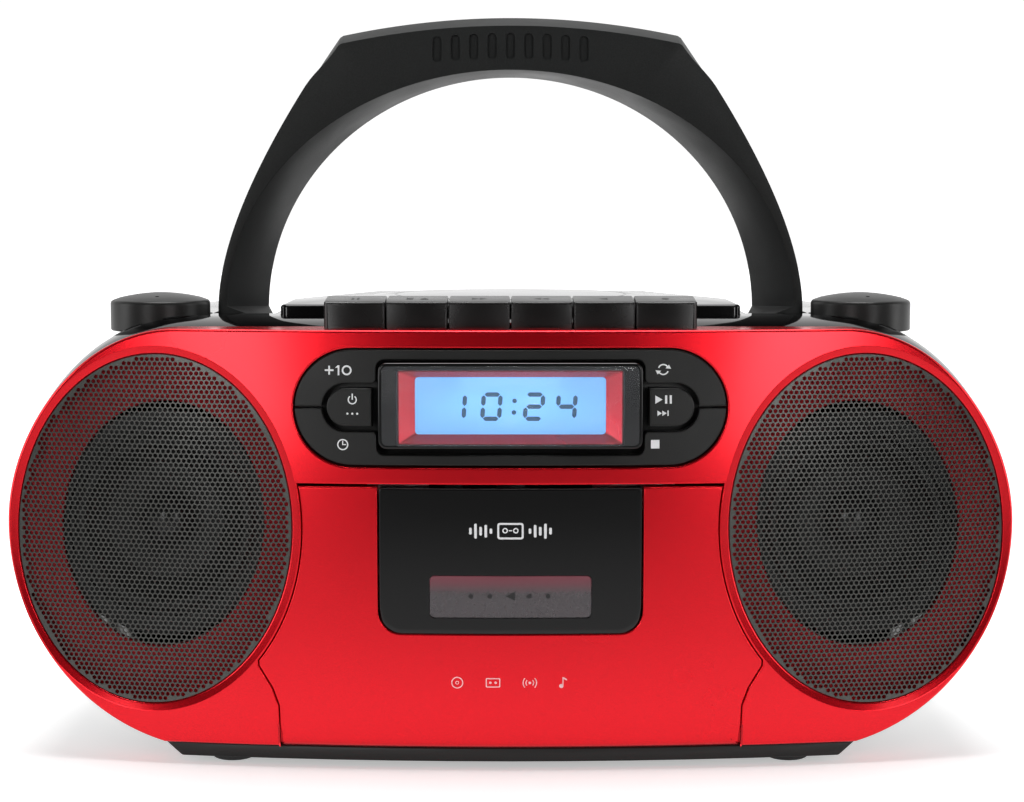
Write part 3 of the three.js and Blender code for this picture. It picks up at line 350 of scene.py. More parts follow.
def rounding(r=1.0, steps=5):
    """Edge profile as (inset, drop, lean) rows, from the face to the side."""
    turns = [math.pi / 2 * k / steps for k in range(steps + 1)]
    return [(r * (1 - math.sin(t)), r * (1 - math.cos(t)), t) for t in turns]


def skin_patch(loops, skin, step=6, wall=2.4):
    """Closed sheet along skin(x, z). Each loop is (points, profile, scale, depth of its side wall)."""
    normals2d = [miter(points) for points, _, _, _ in loops]
    scales = [np.broadcast_to(np.asarray(scale, float), len(points)) for points, _, scale, _ in loops]
    inner = [
        points + n * (profile[0][0] * s)[:, None]
        for (points, profile, _, _), n, s in zip(loops, normals2d, scales)
    ]
    flat, triangles, places = fill(inner, step)

    def lifted(p, drop=0.0):
        return np.column_stack([p[:, 0], skin(p[:, 0], p[:, 1]) + drop, p[:, 1]])

    def facing(p):
        h = 0.2
        gx = (skin(p[:, 0] + h, p[:, 1]) - skin(p[:, 0] - h, p[:, 1])) / (2 * h)
        gz = (skin(p[:, 0], p[:, 1] + h) - skin(p[:, 0], p[:, 1] - h)) / (2 * h)
        n = np.column_stack([gx, -np.ones(len(p)), gz])
        return n / np.linalg.norm(n, axis=1)[:, None]

    verts, normals = [lifted(flat), lifted(flat, wall)], [facing(flat), np.zeros((len(flat), 3))]
    count = 2 * len(flat)
    faces = triangles.tolist() + (triangles[:, ::-1] + len(flat)).tolist()
    for (points, profile, _, depth), n, s, place in zip(loops, normals2d, scales, places):
        side = np.column_stack([-n[:, 0], np.zeros(len(n)), -n[:, 1]])
        side /= np.linalg.norm(side, axis=1)[:, None]
        depth = np.broadcast_to(np.asarray(depth, float), len(points))
        rows = [np.array(place)]
        for inset, drop, lean in profile[1:]:
            p = points + n * (inset * s)[:, None]
            verts.append(lifted(p, drop * s))
            normals.append(facing(p) * math.cos(lean) + side * math.sin(lean))
            rows.append(np.arange(count, count + len(points)))
            count += len(points)
        for inset in (0.0, profile[0][0]):
            p = points + n * (inset * s)[:, None]
            verts.append(np.column_stack([p[:, 0], depth, p[:, 1]]))
            normals.append(side if inset == 0 else np.zeros((len(points), 3)))
            rows.append(np.arange(count, count + len(points)))
            count += len(points)
        rows.append(np.array(place) + len(flat))
        for a, b in zip(rows, rows[1:]):
            for i in range(len(points)):
                j = (i + 1) % len(points)
                faces.append([a[i], b[i], b[j], a[j]])
    return np.vstack(verts), faces, np.vstack(normals)


def skin_piece(name, loops, skin, look, body, nodes=(), step=6, wall=2.4):
    verts, faces, normals = skin_patch(loops, skin, step, wall)
    return piece(name, (verts, faces), look, body, nodes, tidy=False, normals=normals, sharp=60)


def marks(name, outlines, skin, look, body, rise=0.06):
    """Thin marks a hair above skin(x, z). An outline is one loop, or a list of a loop and its holes."""
    verts, faces = [], []
    for outline in outlines:
        loops = outline if isinstance(outline, list) and np.ndim(outline[0]) == 2 else [outline]
        loops = [np.array(loop, float) for loop in loops]
        flat, triangles, places = fill(loops, 0)
        first, n = len(verts), len(flat)
        for lift in (-rise, rise):
            verts += [(p[0], float(skin(p[0], p[1])) + lift, p[1]) for p in flat]
        faces += (triangles + first).tolist() + (triangles[:, ::-1] + first + n).tolist()
        for place in places:
            for i, a in enumerate(place):
                b = place[(i + 1) % len(place)]
                faces.append([first + a, first + n + a, first + n + b, first + b])
    return piece(name, (verts, faces), look, body)


# ---- materials
def set_inputs(node, **values):
    """Sets sockets of a shader node. An underscore stands for a space."""
    for socket, value in values.items():
        node.inputs[socket.replace("_", " ")].default_value = value


def map_range(tree, source, span, result, smooth=False):
    """Output that maps `source` from one span onto another."""
    node = tree.nodes.new("ShaderNodeMapRange")
    if smooth:
        node.interpolation_type = "SMOOTHSTEP"
    set_inputs(node, From_Min=span[0], From_Max=span[1], To_Min=result[0], To_Max=result[1])
    tree.links.new(source, node.inputs["Value"])
    return node.outputs["Result"]


def position(tree, space, axis):
    """One axis of a texture coordinate."""
    place = tree.nodes.new("ShaderNodeTexCoord")
    parts = tree.nodes.new("ShaderNodeSeparateXYZ")
    tree.links.new(place.outputs[space], parts.inputs["Vector"])
    return parts.outputs[axis]


def shader(name, color, rough, metal=0.0, grain=1200, relief=0.00001, spread=0.06, tone=0.06, patch=25,
           **sockets):
    """Procedural finish: broad patches vary the roughness, and a fine grain gives the tone and the relief."""
    look = bpy.data.materials.new(name)
    look.use_nodes = True
    tree = look.node_tree
    nodes, links = tree.nodes, tree.links
    bsdf = nodes["Principled BSDF"]
    place = nodes.new("ShaderNodeTexCoord")

    def noise(scale, detail):
        made = nodes.new("ShaderNodeTexNoise")
        set_inputs(made, Scale=scale, Detail=detail)
        links.new(place.outputs["Object"], made.inputs["Vector"])
        return made.outputs["Fac"]

    broad, fine = noise(patch, 4), noise(grain, 2)
    roughness = map_range(tree, broad, (0.3, 0.7), (max(0.0, rough - spread), rough + spread))
    links.new(roughness, bsdf.inputs["Roughness"])
    ramp = nodes.new("ShaderNodeValToRGB")
    first, last = ramp.color_ramp.elements
    first.position, last.position = 0.3, 0.7
    first.color = [c * (1 - tone) for c in color] + [1]
    last.color = [min(1, c * (1 + tone)) for c in color] + [1]
    links.new(fine, ramp.inputs["Fac"])
    links.new(ramp.outputs["Color"], bsdf.inputs["Base Color"])
    bump = nodes.new("ShaderNodeBump")
    set_inputs(bump, Distance=relief, Strength=1.0)
    links.new(fine, bump.inputs["Height"])
    links.new(bump.outputs["Normal"], bsdf.inputs["Normal"])
    set_inputs(bsdf, Metallic=metal, **sockets)
    return look


def paint_reflection_band(look, low, high, color):
    """Painted reflection: turns the base colour of a look to another one between two heights, both in metres.
    """
    tree = look.node_tree
    base = tree.nodes["Principled BSDF"].inputs["Base Color"]
    height = map_range(tree, position(tree, "Object", "Z"), (low, high), (0, 1), smooth=True)
    mixed = tree.nodes.new("ShaderNodeMix")
    mixed.data_type = "RGBA"
    mixed.inputs["B"].default_value = (*color, 1)
    tree.links.new(height, mixed.inputs["Factor"])
    tree.links.new(base.links[0].from_socket, mixed.inputs["A"])
    tree.links.new(mixed.outputs["Result"], base)


RED = shader("red_lacquer", (0.72, 0.0016, 0.0105), 0.25, 0.85, grain=2600, relief=0.000003, spread=0.03,
             tone=0.14, patch=14, Coat_Weight=0.3, Coat_Roughness=0.16)
DEEP_RED = shader("red_in_shade", (0.34, 0.002, 0.008), 0.45, 0.5, grain=2600, relief=0.000004, tone=0.2)
GLOSS = shader("gloss_black", (0.0013, 0.0013, 0.0014), 0.08, grain=260, relief=0.0000003, spread=0.025,
               Specular_IOR_Level=0.35)
SATIN = shader("satin_black", (0.0062, 0.0062, 0.0058), 0.4, grain=1900, relief=0.000012, spread=0.07,
               tone=0.2, Specular_IOR_Level=0.32)
KEYS = shader("key_black", (0.0048, 0.0044, 0.0042), 0.28, grain=2100, tone=0.15, Specular_IOR_Level=0.36)
HANDLE = shader("handle_black", (0.0085, 0.0095, 0.0092), 0.5, grain=1700, relief=0.00003, spread=0.08,
                tone=0.28, Specular_IOR_Level=0.24)
PERFORATED = shader("grille_paint", (0.07, 0.07, 0.065), 0.34, 0.55, grain=2200, spread=0.07, tone=0.2)
RUBBER = shader("rubber", (0.016, 0.016, 0.016), 0.78, grain=900, relief=0.00004, tone=0.25)
CONE = shader("cone_paper", (0.0035, 0.0035, 0.004), 0.55, grain=700, relief=0.00006, tone=0.35)
CAP = shader("cap_gloss", (0.03, 0.03, 0.032), 0.16, 0.3, grain=400, relief=0.000004)
STEEL = shader("steel_plain", (0.5, 0.51, 0.52), 0.34, 1.0, grain=600, relief=0.000012, spread=0.09,
               tone=0.12)
DARK_STEEL = shader("basket_paint", (0.009, 0.009, 0.0095), 0.45, 0.3, grain=700, relief=0.00002, tone=0.2)
CHROME = shader("chrome_bright", (0.8, 0.81, 0.82), 0.09, 1.0, grain=300, relief=0.000002, spread=0.04,
                tone=0.03)
BRASS = shader("brass_turned", (0.62, 0.42, 0.15), 0.3, 1.0, grain=900, relief=0.000012, tone=0.12)
WHITE = shader("white_moulding", (0.72, 0.71, 0.66), 0.5, grain=900, tone=0.05)
GREY = shader("grey_moulding", (0.11, 0.115, 0.12), 0.5, grain=1100, relief=0.00002, tone=0.12)
BOARD = shader("solder_resist", (0.012, 0.09, 0.03), 0.4, grain=350, relief=0.00003, tone=0.3)
PRINT = shader("white_print", (0.78, 0.79, 0.8), 0.5, grain=2500, relief=0.000003, tone=0.05)
PINK_PRINT = shader("pale_print", (0.85, 0.5, 0.52), 0.5, grain=2500, relief=0.000003, tone=0.05)
INK = shader("dark_print", (0.004, 0.004, 0.0045), 0.5, grain=2500, relief=0.000003, tone=0.1)
SEGMENT = shader("lcd_segment", (0.05, 0.17, 0.32), 0.3, grain=2500, relief=0.000002, tone=0.1)
SMOKE = shader("smoked_window", (0.092, 0.082, 0.088), 0.14, grain=700, relief=0.000003, spread=0.03,
               Alpha=0.82)
# Painted reflection: the smoked window's colour turns pale red towards its top, between 74.5 and 83 mm.
paint_reflection_band(SMOKE, 0.0745, 0.083, (0.22, 0.06, 0.08))
LENS = shader("clear_pane", (0.5, 0.52, 0.55), 0.03, grain=300, relief=0.0000005, spread=0.02, Alpha=0.07)
BEZEL = shader("red_bezel", (0.6, 0.008, 0.03), 0.3, 0.6, grain=2600, relief=0.000004, tone=0.2)
LCD = shader("lcd_backlight", (0.2, 0.5, 0.85), 0.35, grain=60, relief=0.000001, tone=0.05,
             Emission_Color=(0.19, 0.5, 0.98, 1), Emission_Strength=0.85)

SLOT_LOOKS = {
    "red_shell": RED, "gloss_black": GLOSS, "satin_black": SATIN, "handle_black": HANDLE, "cone": CONE,
    "grille_metal": PERFORATED, "clear_lens": LENS, "lcd": LCD, "rubber": RUBBER, "steel": STEEL,
    "chrome": CHROME, "brass": BRASS, "white_plastic": WHITE, "board": BOARD, "grey_plastic": GREY,
}
CAD_SLOTS = {part["node"]: part["material_slot"] for part in frame["record"]["subparts"]}


def dress(node, look=None, soft=0.3, sharp=30):
    """Gives a CAD node its finish and small rounded edges."""
    obj = frame["nodes"][node]
    obj.data.materials.clear()
    obj.data.materials.append(look or SLOT_LOOKS[CAD_SLOTS[node]])
    obj.data.shade_smooth()
    weld = obj.modifiers.new("weld", "WELD")
    weld.merge_threshold = 1e-6
    if soft:
        edge = obj.modifiers.new("edge", "BEVEL")
        edge.width = soft * MM
        edge.segments = 2
        edge.limit_method = "ANGLE"
        edge.angle_limit = math.radians(sharp)
        edge.harden_normals = True
    return obj


# ---- casing
def front_skin(x, z):
    u = x / HALF_WIDTH
    v = (z - MID_Z) / np.where(z > MID_Z, UPPER_B, LOWER_B)
    return RIM_Y - (1 - u * u) * (BOW + CROWN * (1 - v * v))


def right_outline(steps=44):
    """Right half of the casing outline, from the bottom centre to the top centre."""
    last = math.asin((MID_Z - FLOOR_Z) / LOWER_B)
    corner = LOWER_X + LOWER_A * math.cos(last)
    half = [(x, FLOOR_Z) for x in np.linspace(0, corner, 40)[:-1]]
    for t in np.linspace(last, 0, steps)[:-1]:
        half.append((LOWER_X + LOWER_A * math.cos(t), MID_Z - LOWER_B * math.sin(t)))
    for t in np.linspace(0, math.pi / 2, steps):
        half.append((UPPER_X + UPPER_A * math.cos(t), MID_Z + UPPER_B * math.sin(t)))
    half += [(x, TOP_Z) for x in np.linspace(UPPER_X, 0, 40)[1:]]
    return np.array(half)


def mirrored(half):
    return np.column_stack([-half[::-1, 0], half[::-1, 1]])


RIGHT = right_outline()
OUTLINE = np.vstack([RIGHT, mirrored(RIGHT)[1:-1]])


def grille_loop(side, grow, steps=200):
    return ellipse(side * GRILLE_X, SPEAKER_Z, GRILLE_A + grow, GRILLE_B + grow, side * SPEAKER_TILT, steps)


def seam(top, grow, lip):
    """Right edge of the lower front panel, upwards: the bent seam, then the rim of the speaker ring."""
    ring = grille_loop(1, lip, 720)
    left = ring[ring[:, 0] < GRILLE_X]
    left = left[np.argsort(left[:, 1])]
    levels = np.unique(np.concatenate([np.linspace(FLOOR_Z, 46, 18), [27, 34.4], np.linspace(48, top, 34)]))
    bent = np.interp(levels, [5, 27, 34.4, 48, 121], [95.6, 96.3, 98.9, 107, 120]) + grow
    round_ring = np.interp(levels, left[:, 1], left[:, 0], left=999, right=999)
    return np.column_stack([np.minimum(bent, round_ring), levels])


shell_seam = seam(GROOVE_Z + 0.5, GAP, RING_LIP)
share = np.clip((OUTLINE[:, 1] - 100) / 70, 0, 1)
FACE_INSET = 0.3 + 3.1 * share * share * (3 - 2 * share)
FACE = OUTLINE + miter(OUTLINE) * FACE_INSET[:, None]
FACE_RIGHT = FACE[:len(RIGHT)]
outer_right = FACE_RIGHT[(FACE_RIGHT[:, 0] > shell_seam[0, 0] + 1) | (FACE_RIGHT[:, 1] > MID_Z)]
shell_loop = np.vstack([
    shell_seam[:1], outer_right, mirrored(outer_right)[1:],
    mirrored(shell_seam)[::-1],
    np.column_stack([np.linspace(-shell_seam[-1, 0], shell_seam[-1, 0], 60)[1:-1],
                     np.full(58, shell_seam[-1, 1])]),
    shell_seam[::-1][:-1],
])
on_rim = np.zeros(len(shell_loop), bool)
on_rim[1:len(outer_right) * 2] = True
KEY_SPAN = 77.8
in_notch = on_rim & (abs(shell_loop[:, 0]) < KEY_SPAN) & (shell_loop[:, 1] > TOP_Z - 5)
rim_scale = np.where(on_rim, 1.3, 0.8)
rim_depth = np.where(on_rim, -64.1, -86.0)
rim_depth[in_notch] = -81.5
RING = [(3.3, 0, 0), (3.1, 0.03, 0.2), (2.9, 0.1, 0.42), (0.6, 1.13, 0.42), (0.2, 1.36, 0.9),
        (0, 1.8, math.pi / 2)]
panel_loop = densify(rectangle(-PANEL_HALF, PANEL_HALF, PANEL_Z - PANEL_RISE, PANEL_Z + PANEL_RISE,
                               PANEL_RISE - 0.01, 18), 4)
skin_piece(
    "front_shell_skin",
    [(shell_loop, rounding(), rim_scale, rim_depth)]
    + [(grille_loop(side, 0.4)[::-1], RING, 1.0, BAFFLE_Y + 0.1) for side in (-1, 1)]
    + [(panel_loop[::-1], rounding(), 0.9, -81.0)],
    front_skin, RED, "cabinet", ["front_shell"], step=5, wall=1.8)

# Lower front panel with the doorway of the cassette deck.
SEAM_LOW = GROOVE_Z - 0.5
panel_seam = seam(SEAM_LOW, 0, RING_LIP + GAP)
DOORWAY, DOORWAY_Z, CURVE_Z = DOOR_HALF + 0.5, 58.6, 70
doorway = fillet([(DOORWAY, GROOVE_Z + 20), (DOORWAY, DOORWAY_Z), (-DOORWAY, DOORWAY_Z),
                  (-DOORWAY, GROOVE_Z + 20)], [0, 9.5, 9.5, 0], 8)[1:-1]
doorway = [(DOORWAY, z) for z in np.linspace(SEAM_LOW, CURVE_Z, 16)] + doorway[:9] + \
    [(x, DOORWAY_Z) for x in np.linspace(42, -42, 28)] + doorway[9:] + \
    [(-DOORWAY, z) for z in np.linspace(CURVE_Z, SEAM_LOW, 16)]
top_right = [(x, SEAM_LOW) for x in np.linspace(panel_seam[-1, 0], DOORWAY, 12)[1:-1]]
top_left = [(-x, z) for x, z in top_right[::-1]]
bottom = [(x, FLOOR_Z) for x in np.linspace(-panel_seam[0, 0], panel_seam[0, 0], 60)[:-1]]
lower_loop = np.array(bottom + [tuple(p) for p in panel_seam] + top_right + doorway + top_left
                      + [tuple(p) for p in mirrored(panel_seam)[:-1]])
low_edge = lower_loop[:, 1] < FLOOR_Z + 0.1
door_foot = (abs(lower_loop[:, 0]) < 52) & (lower_loop[:, 1] < 66) & (lower_loop[:, 1] > 50)
lower_depth = np.where(low_edge, -72.0, -86.0)
lower_depth = np.where(door_foot, front_skin(lower_loop[:, 0], lower_loop[:, 1]) + 1.9, lower_depth)
skin_piece("lower_panel_skin", [(lower_loop, rounding(), np.where(low_edge, 4.0, 0.8), lower_depth)],
           front_skin, RED, "cabinet", ["lower_front_panel"], step=5, wall=1.9)

# Rear shell.
# Corners of the slot that a leg of the handle folds into, each with the sign of its growth in X and in Y.
CHANNEL = [(130.4, -26, 1, -1), (130.4, 108, 1, 0), (72, 108, -1, 0), (72, 97, -1, 0), (103, 15, -1, 0),
           (103, -26, -1, -1)]


def channel(side, grow, z0, z1):
    loop = [(side * (x + dx * grow), y + dy * grow) for x, y, dx, dy in CHANNEL]
    return prism(loop if side > 0 else loop[::-1], z0, z1)


def deck_plan(grow):
    right = [(99.4 + grow, -40.5 - grow), (99.4 + grow, 12), (66 + grow, 92 + grow)]
    left = [(-x, y) for x, y in right]
    return [left[0], *right, left[2], left[1]]


def both(make):
    return [make(-1), make(1)]


def knob_bar(side, r, z0, z1, segments=96):
    """Upright bar at the place of a knob."""
    return cylinder("z", r, z0, z1, (side * KNOB_X, KNOB_Y), segments)


def disc_bar(r, z0, z1, segments=128):
    """Upright bar on the axis of the disc."""
    return cylinder("z", r, z0, z1, (0, DISC_Y), segments)


CASING = prism(OUTLINE, -50, REAR_Y, "y", 0, 6)
rear_inner = prism(OUTLINE + miter(OUTLINE) * 2.6, -57, REAR_Y - 2.6, "y")
rear_mouth = prism(OUTLINE + miter(OUTLINE) * 4.6, -80, -56, "y")
rear_adds = both(lambda s: carve("wall", channel(s, 2.4, 147.1, TOP_Z - 0.01), common=[CASING]))
rear_adds += both(lambda s: carve("pot", knob_bar(s, 24.7, 160, TOP_Z - 0.02),
                                  common=[CASING, block((-300, 300), (-60, 60), (177, 300))]))
rear_adds += both(lambda s: carve("pot_floor", knob_bar(s, 24.7, 176.6, 179.5), common=[CASING]))
rear_adds += [block((-83, 83), (89.8, 94), (18, 86)), block((-79.2, 79.2), (57.8, 91), (21.8, 82.2)),
              carve("groove_wall", block((-213, 182.4), (83.2, 95), (132.4, 147.6)), common=[CASING])]
rear_cuts = both(lambda s: channel(s, 0, 149.5, 220))
rear_cuts += both(lambda s: side_bar(s, 3.8, 97, 137, (PIVOT_Y, PIVOT_Z), 48))
rear_cuts += both(lambda s: knob_bar(s, 22.5, 179.5, 210)) + both(lambda s: knob_bar(s, 3.4, 170, 180, 32))
rear_cuts += [block((-77, 77), (60, 100), (24, 80)), block((-80, 80), (92.2, 100), (21, 83)),
              block((-218, 180), (85.4, 100), (134.5, 145.5)), cylinder("x", 3.3, 179, 184, (AY, AZ), 32),
              block((112.6, 137.4), (80, 100), (92.6, 111.4)), prism(deck_plan(GAP), 181.5, 200)]
for x in (-150, 150):
    for i in range(7):
        rear_cuts.append(prism(rectangle(x - 28, x + 28, 44 + i * 7, 47 + i * 7, 1.4), 80, 100, "y"))
rear_cuts.append(block((-KEY_SPAN, KEY_SPAN), (-90, -59.6), (176, 200)))
taper = [(1, -63.8), (0.72, -61), (0.42, -56.5), (0.18, -51.5), (0.04, -47), (0, -43)]
back_round = [(6 * (1 - math.cos(t)), REAR_Y - 6 + 6 * math.sin(t)) for t in np.linspace(0, math.pi / 2, 8)]
rear_rows = [(FACE_INSET * part, y) for part, y in taper]
rear_rows += [(np.full(len(OUTLINE), inset), y) for inset, y in back_round]
casing_rows = [(OUTLINE + miter(OUTLINE) * inset[:, None], y) for inset, y in rear_rows]
rear_form = rings_solid(casing_rows)
last_ring = len(rear_form[0]) - len(OUTLINE)
rear_form[1][-len(OUTLINE):] = [list(range(len(OUTLINE))), list(range(last_ring, len(rear_form[0])))]
rear = carve("rear_solid", rear_form, cuts=[rear_inner, rear_mouth])
rear = carve("rear_done", solid_of(rear), adds=rear_adds, cuts=rear_cuts)
piece("rear_shell_skin", rear, GLOSS, "cabinet", ["rear_shell"], sharp=25)

# Raised deck with the disc well.
well_cuts = [disc_bar(LID_R + 0.4, 188.7, 200), block((-30, 30), (75.5, 99), (188.7, 200)),
             disc_bar(62, 176, 200), disc_bar(17.5, 171, 177, 64), block((-13, 13), (35.5, 81.5), (171, 177))]
deck = carve("deck", prism(fillet(deck_plan(0), 3), 181.7, 191.5, "z", 0, 1.4, 5),
             adds=[disc_bar(64.4, 173.4, 188)], cuts=well_cuts)
piece("top_deck_skin", deck, GLOSS, "cabinet", ["top_deck"], sharp=25)
lid_profile = [(0, 189), (LID_R - 0.4, 189), (LID_R, 189.4), (LID_R, 191.2), (LID_R - 0.5, 192.1),
               (LID_R - 2, 192.6), (54, 193.0), (53.2, 192.6), (52.4, 193.1), (36, 193.5), (15, 193.75),
               (0, 193.8)]
LID_HINGE_Y, LID_HINGE_Z = 88.5, 190.2
lid = carve("lid", lathe(lid_profile, 144, "z", (0, DISC_Y, 0)),
            adds=[block((-24, 24), (77.5, LID_HINGE_Y), (189, 191.3)), disc_bar(13, 186.8, 190, 64)],
            cuts=[block((-30, 30), (LID_HINGE_Y, 98), (180, 200))])
lid = carve("lid", solid_of(lid), adds=[cylinder("x", 1.15, -24, 24, (LID_HINGE_Y, LID_HINGE_Z), 32)])
piece("disc_lid_skin", lid, GLOSS, "disc_lid", ["disc_lid"], sharp=30)

# ---- speakers
PITCH, HOLE = 2.2, 0.97
THICK, DOME = 0.8, 0.9


def grille_mesh(side):
    """Perforated sheet: a lattice of hexagonal cells, each with a hexagonal hole, and a plain rim."""
    rim = grille_loop(side, 0, 220)
    safe = grille_loop(side, -1.9, 220)
    corner = PITCH / math.sqrt(3)
    cells = lattice(rim.min(0), rim.max(0), PITCH, 0.8660254, 2)
    near = grille_loop(side, -1.2, 220)
    inside = crossings(cells, safe, np.roll(safe, -1, 0))
    border_cells = cells[~inside & crossings(cells, near, np.roll(near, -1, 0))]
    cells = cells[inside]
    turns = [math.radians(30 + 60 * k) for k in range(6)]
    index, flat = {}, []

    def at(p):
        key = (round(p[0] * 50), round(p[1] * 50))
        if key not in index:
            index[key] = len(flat)
            flat.append(p)
        return index[key]

    def hole_at(c):
        """Adds the hole of a cell and returns the numbers of its corners."""
        first = len(flat)
        flat.extend(circle_points(*c, HOLE, turns))
        return list(range(first, first + 6))

    outer, uses = [], {}
    for c in cells:
        ring = [at(p) for p in circle_points(*c, corner, turns)]
        outer.append(ring)
        for a, b in zip(ring, ring[1:] + ring[:1]):
            uses[(min(a, b), max(a, b))] = uses.get((min(a, b), max(a, b)), 0) + 1
    inner = [hole_at(c) for c in cells]
    border = [e for e, n in uses.items() if n == 1]
    used = sorted({v for e in border for v in e})
    rim_first = len(flat)
    flat += [tuple(p) for p in rim]
    rim_edges = [(rim_first + i, rim_first + (i + 1) % len(rim)) for i in range(len(rim))]
    loose = [hole_at(c) for c in border_cells]
    border += [(hole[k], hole[(k + 1) % 6]) for hole in loose for k in range(6)]
    lookup = used + list(range(rim_first, len(flat)))
    place = {v: i for i, v in enumerate(lookup)}
    edges = [(place[a], place[b]) for a, b in border + rim_edges]
    out = delaunay_2d_cdt([Vector(flat[v]) for v in lookup], edges, [], 0, 1e-7)
    back = [min(olds) for olds in out[3]]
    points = np.array(flat)
    starts = points[[a for a, _ in border + rim_edges]]
    ends = points[[b for _, b in border + rim_edges]]
    band = np.array([[lookup[back[v]] for v in f] for f in out[2]])
    band = band[crossings(points[band].mean(1), starts, ends)].tolist()
    n = len(flat)
    y = front_skin(points[:, 0], points[:, 1]) + 1.5
    radius = ((points[:, 0] - side * GRILLE_X) / GRILLE_A) ** 2 + ((points[:, 1] - SPEAKER_Z) / GRILLE_B) ** 2
    y = y - DOME * np.clip(1 - radius, 0, 1)
    verts = np.vstack([np.column_stack([points[:, 0], y, points[:, 1]]),
                       np.column_stack([points[:, 0], y + THICK, points[:, 1]])])
    faces = band + [[c + n for c in f[::-1]] for f in band]
    for ring, hole in zip(outer, inner):
        for k in range(6):
            j = (k + 1) % 6
            quad = [ring[k], ring[j], hole[j], hole[k]]
            faces.append(quad)
            faces.append([c + n for c in quad[::-1]])
            faces.append([hole[k], hole[j], hole[j] + n, hole[k] + n])
    for hole in loose:
        for k in range(6):
            j = (k + 1) % 6
            faces.append([hole[k], hole[j], hole[j] + n, hole[k] + n])
    for a, b in rim_edges:
        faces.append([b, a, a + n, b + n])
    return verts, faces


def const(value):
    return lambda x, z: np.zeros_like(np.asarray(x, float)) + value


CONE_Y = BAFFLE_Y + 2.8
CONE_PROFILE = [
    (0, 6.0), (11.5, 11), (13, 10.4), (18, 8.0), (18.6, 8.1), (24, 5.4), (24.6, 5.5), (31, 2.0), (32.5, 1.0),
    (33.6, -0.1), (35.2, -0.6), (37, -0.2), (38.4, 1.0), (39, 1.3), (40.7, 1.3), (40.7, 2.2), (34, 2.6),
    (12, 14), (10, 14), (10, 22), (0, 22)]
CAP_PROFILE = [(0, 3.2), (3, 3.5), (6, 4.6), (9, 6.6), (11.6, 9.9), (11.6, 10.6), (0, 7.0)]
for side, name in ((-1, "left"), (1, "right")):
    piece(f"grille_sheet_{name}", grille_mesh(side), PERFORATED, "cabinet",
          [f"grille_{name}"])
    opening = ellipse(side * SPEAKER_X, SPEAKER_Z, BAFFLE_A, BAFFLE_B, side * SPEAKER_TILT, 120)
    skin_piece(f"baffle_{name}", [(grille_loop(side, RING_LIP - 1.0, 120), rounding(), 0.3, BAFFLE_Y + 2.5),
                                  (opening[::-1], rounding(), 0.8, BAFFLE_Y + 2.5)],
               const(BAFFLE_Y), DEEP_RED, "cabinet", step=8)
    at = (side * SPEAKER_X, CONE_Y, SPEAKER_Z)
    cone = f"speaker_cone_{name}"
    piece(f"cone_form_{name}", lathe(CONE_PROFILE, 96, "y", at), CONE, cone, [cone])
    piece(f"dust_cap_{name}", lathe(CAP_PROFILE, 64, "y", at), CAP, cone)
    dress(f"speaker_basket_{name}", DARK_STEEL)

# ---- control panel and display
SEAM_Z = PANEL_Z + 0.2


def button_loop(side, grow, steps=14):
    r = (BUTTON_Z1 - BUTTON_Z0) / 2
    turns = [-math.pi / 2 + math.pi * k / steps for k in range(steps + 1)]
    loop = [(BUTTON_X0 - grow, BUTTON_Z0 - grow)]
    loop += circle_points(BUTTON_X1 - r, (BUTTON_Z0 + BUTTON_Z1) / 2, r + grow, turns)
    loop.append((BUTTON_X0 - grow, BUTTON_Z1 + grow))
    loop = [(side * x, z) for x, z in loop]
    return loop if side > 0 else loop[::-1]


def rocker_loop(up):
    """The oval above the seam, less the display and the end buttons; its mirror image is the lower one."""
    r, half = PANEL_RISE - 0.5, PANEL_HALF - 0.5
    cx, cz = half - r, PANEL_Z
    start = math.asin((SEAM_Z + 0.35 - cz) / r)
    outer = circle_points(cx, cz, r, np.linspace(start, math.pi / 2, 20))
    br = (BUTTON_Z1 - BUTTON_Z0) / 2 + 1.9
    bx, bz = BUTTON_X1 - (BUTTON_Z1 - BUTTON_Z0) / 2, (BUTTON_Z0 + BUTTON_Z1) / 2
    begin = math.asin((SEAM_Z + 0.35 - bz) / br)
    arc = circle_points(bx, bz, br, np.linspace(begin, math.pi / 2, 12))
    frame_x, frame_z = DISPLAY_HALF + 0.7, DISPLAY_Z1 + 0.7
    side = arc + [(frame_x + 1.2, arc[-1][1]), (frame_x, arc[-1][1] + 1.4)]
    side += circle_points(frame_x - 3, frame_z - 3, 3, np.linspace(0, math.pi / 2, 6))
    whole = outer + [(-x, z) for x, z in outer[::-1] + side] + side[::-1]
    if not up:
        whole = [(x, 2 * SEAM_Z - z) for x, z in whole][::-1]
    return densify(whole, 3)


for name, up in (("upper_rocker", True), ("lower_rocker", False)):
    skin_piece(f"{name}_skin", [(rocker_loop(up), rounding(), 0.7, -86.5)], front_skin, SATIN, name,
               [name], step=5, wall=2)


def button_skin(x, z):
    return front_skin(x, z) - 0.35


for side, name in ((-1, "mode_button"), (1, "play_button")):
    skin_piece(f"{name}_cap", [(densify(button_loop(side, 0), 3), rounding(), 1.0, -86.0)], button_skin,
               SATIN, name, [name], step=4, wall=2)

FRAME_Y = -94.6
frame_loop = densify(rectangle(-DISPLAY_HALF, DISPLAY_HALF, DISPLAY_Z0, DISPLAY_Z1, 3.5), 5)
frame_hole = densify(rectangle(-46.3, 46.3, 136.6, 167.7, 0.8), 5)[::-1]
skin_piece("display_surround", [(frame_loop, rounding(), 1.1, -84.0), (frame_hole, rounding(), 0.4, -90.0)],
           const(FRAME_Y + 0.3), GLOSS, "cabinet", ["display_frame"], step=8)
dress("control_tray")


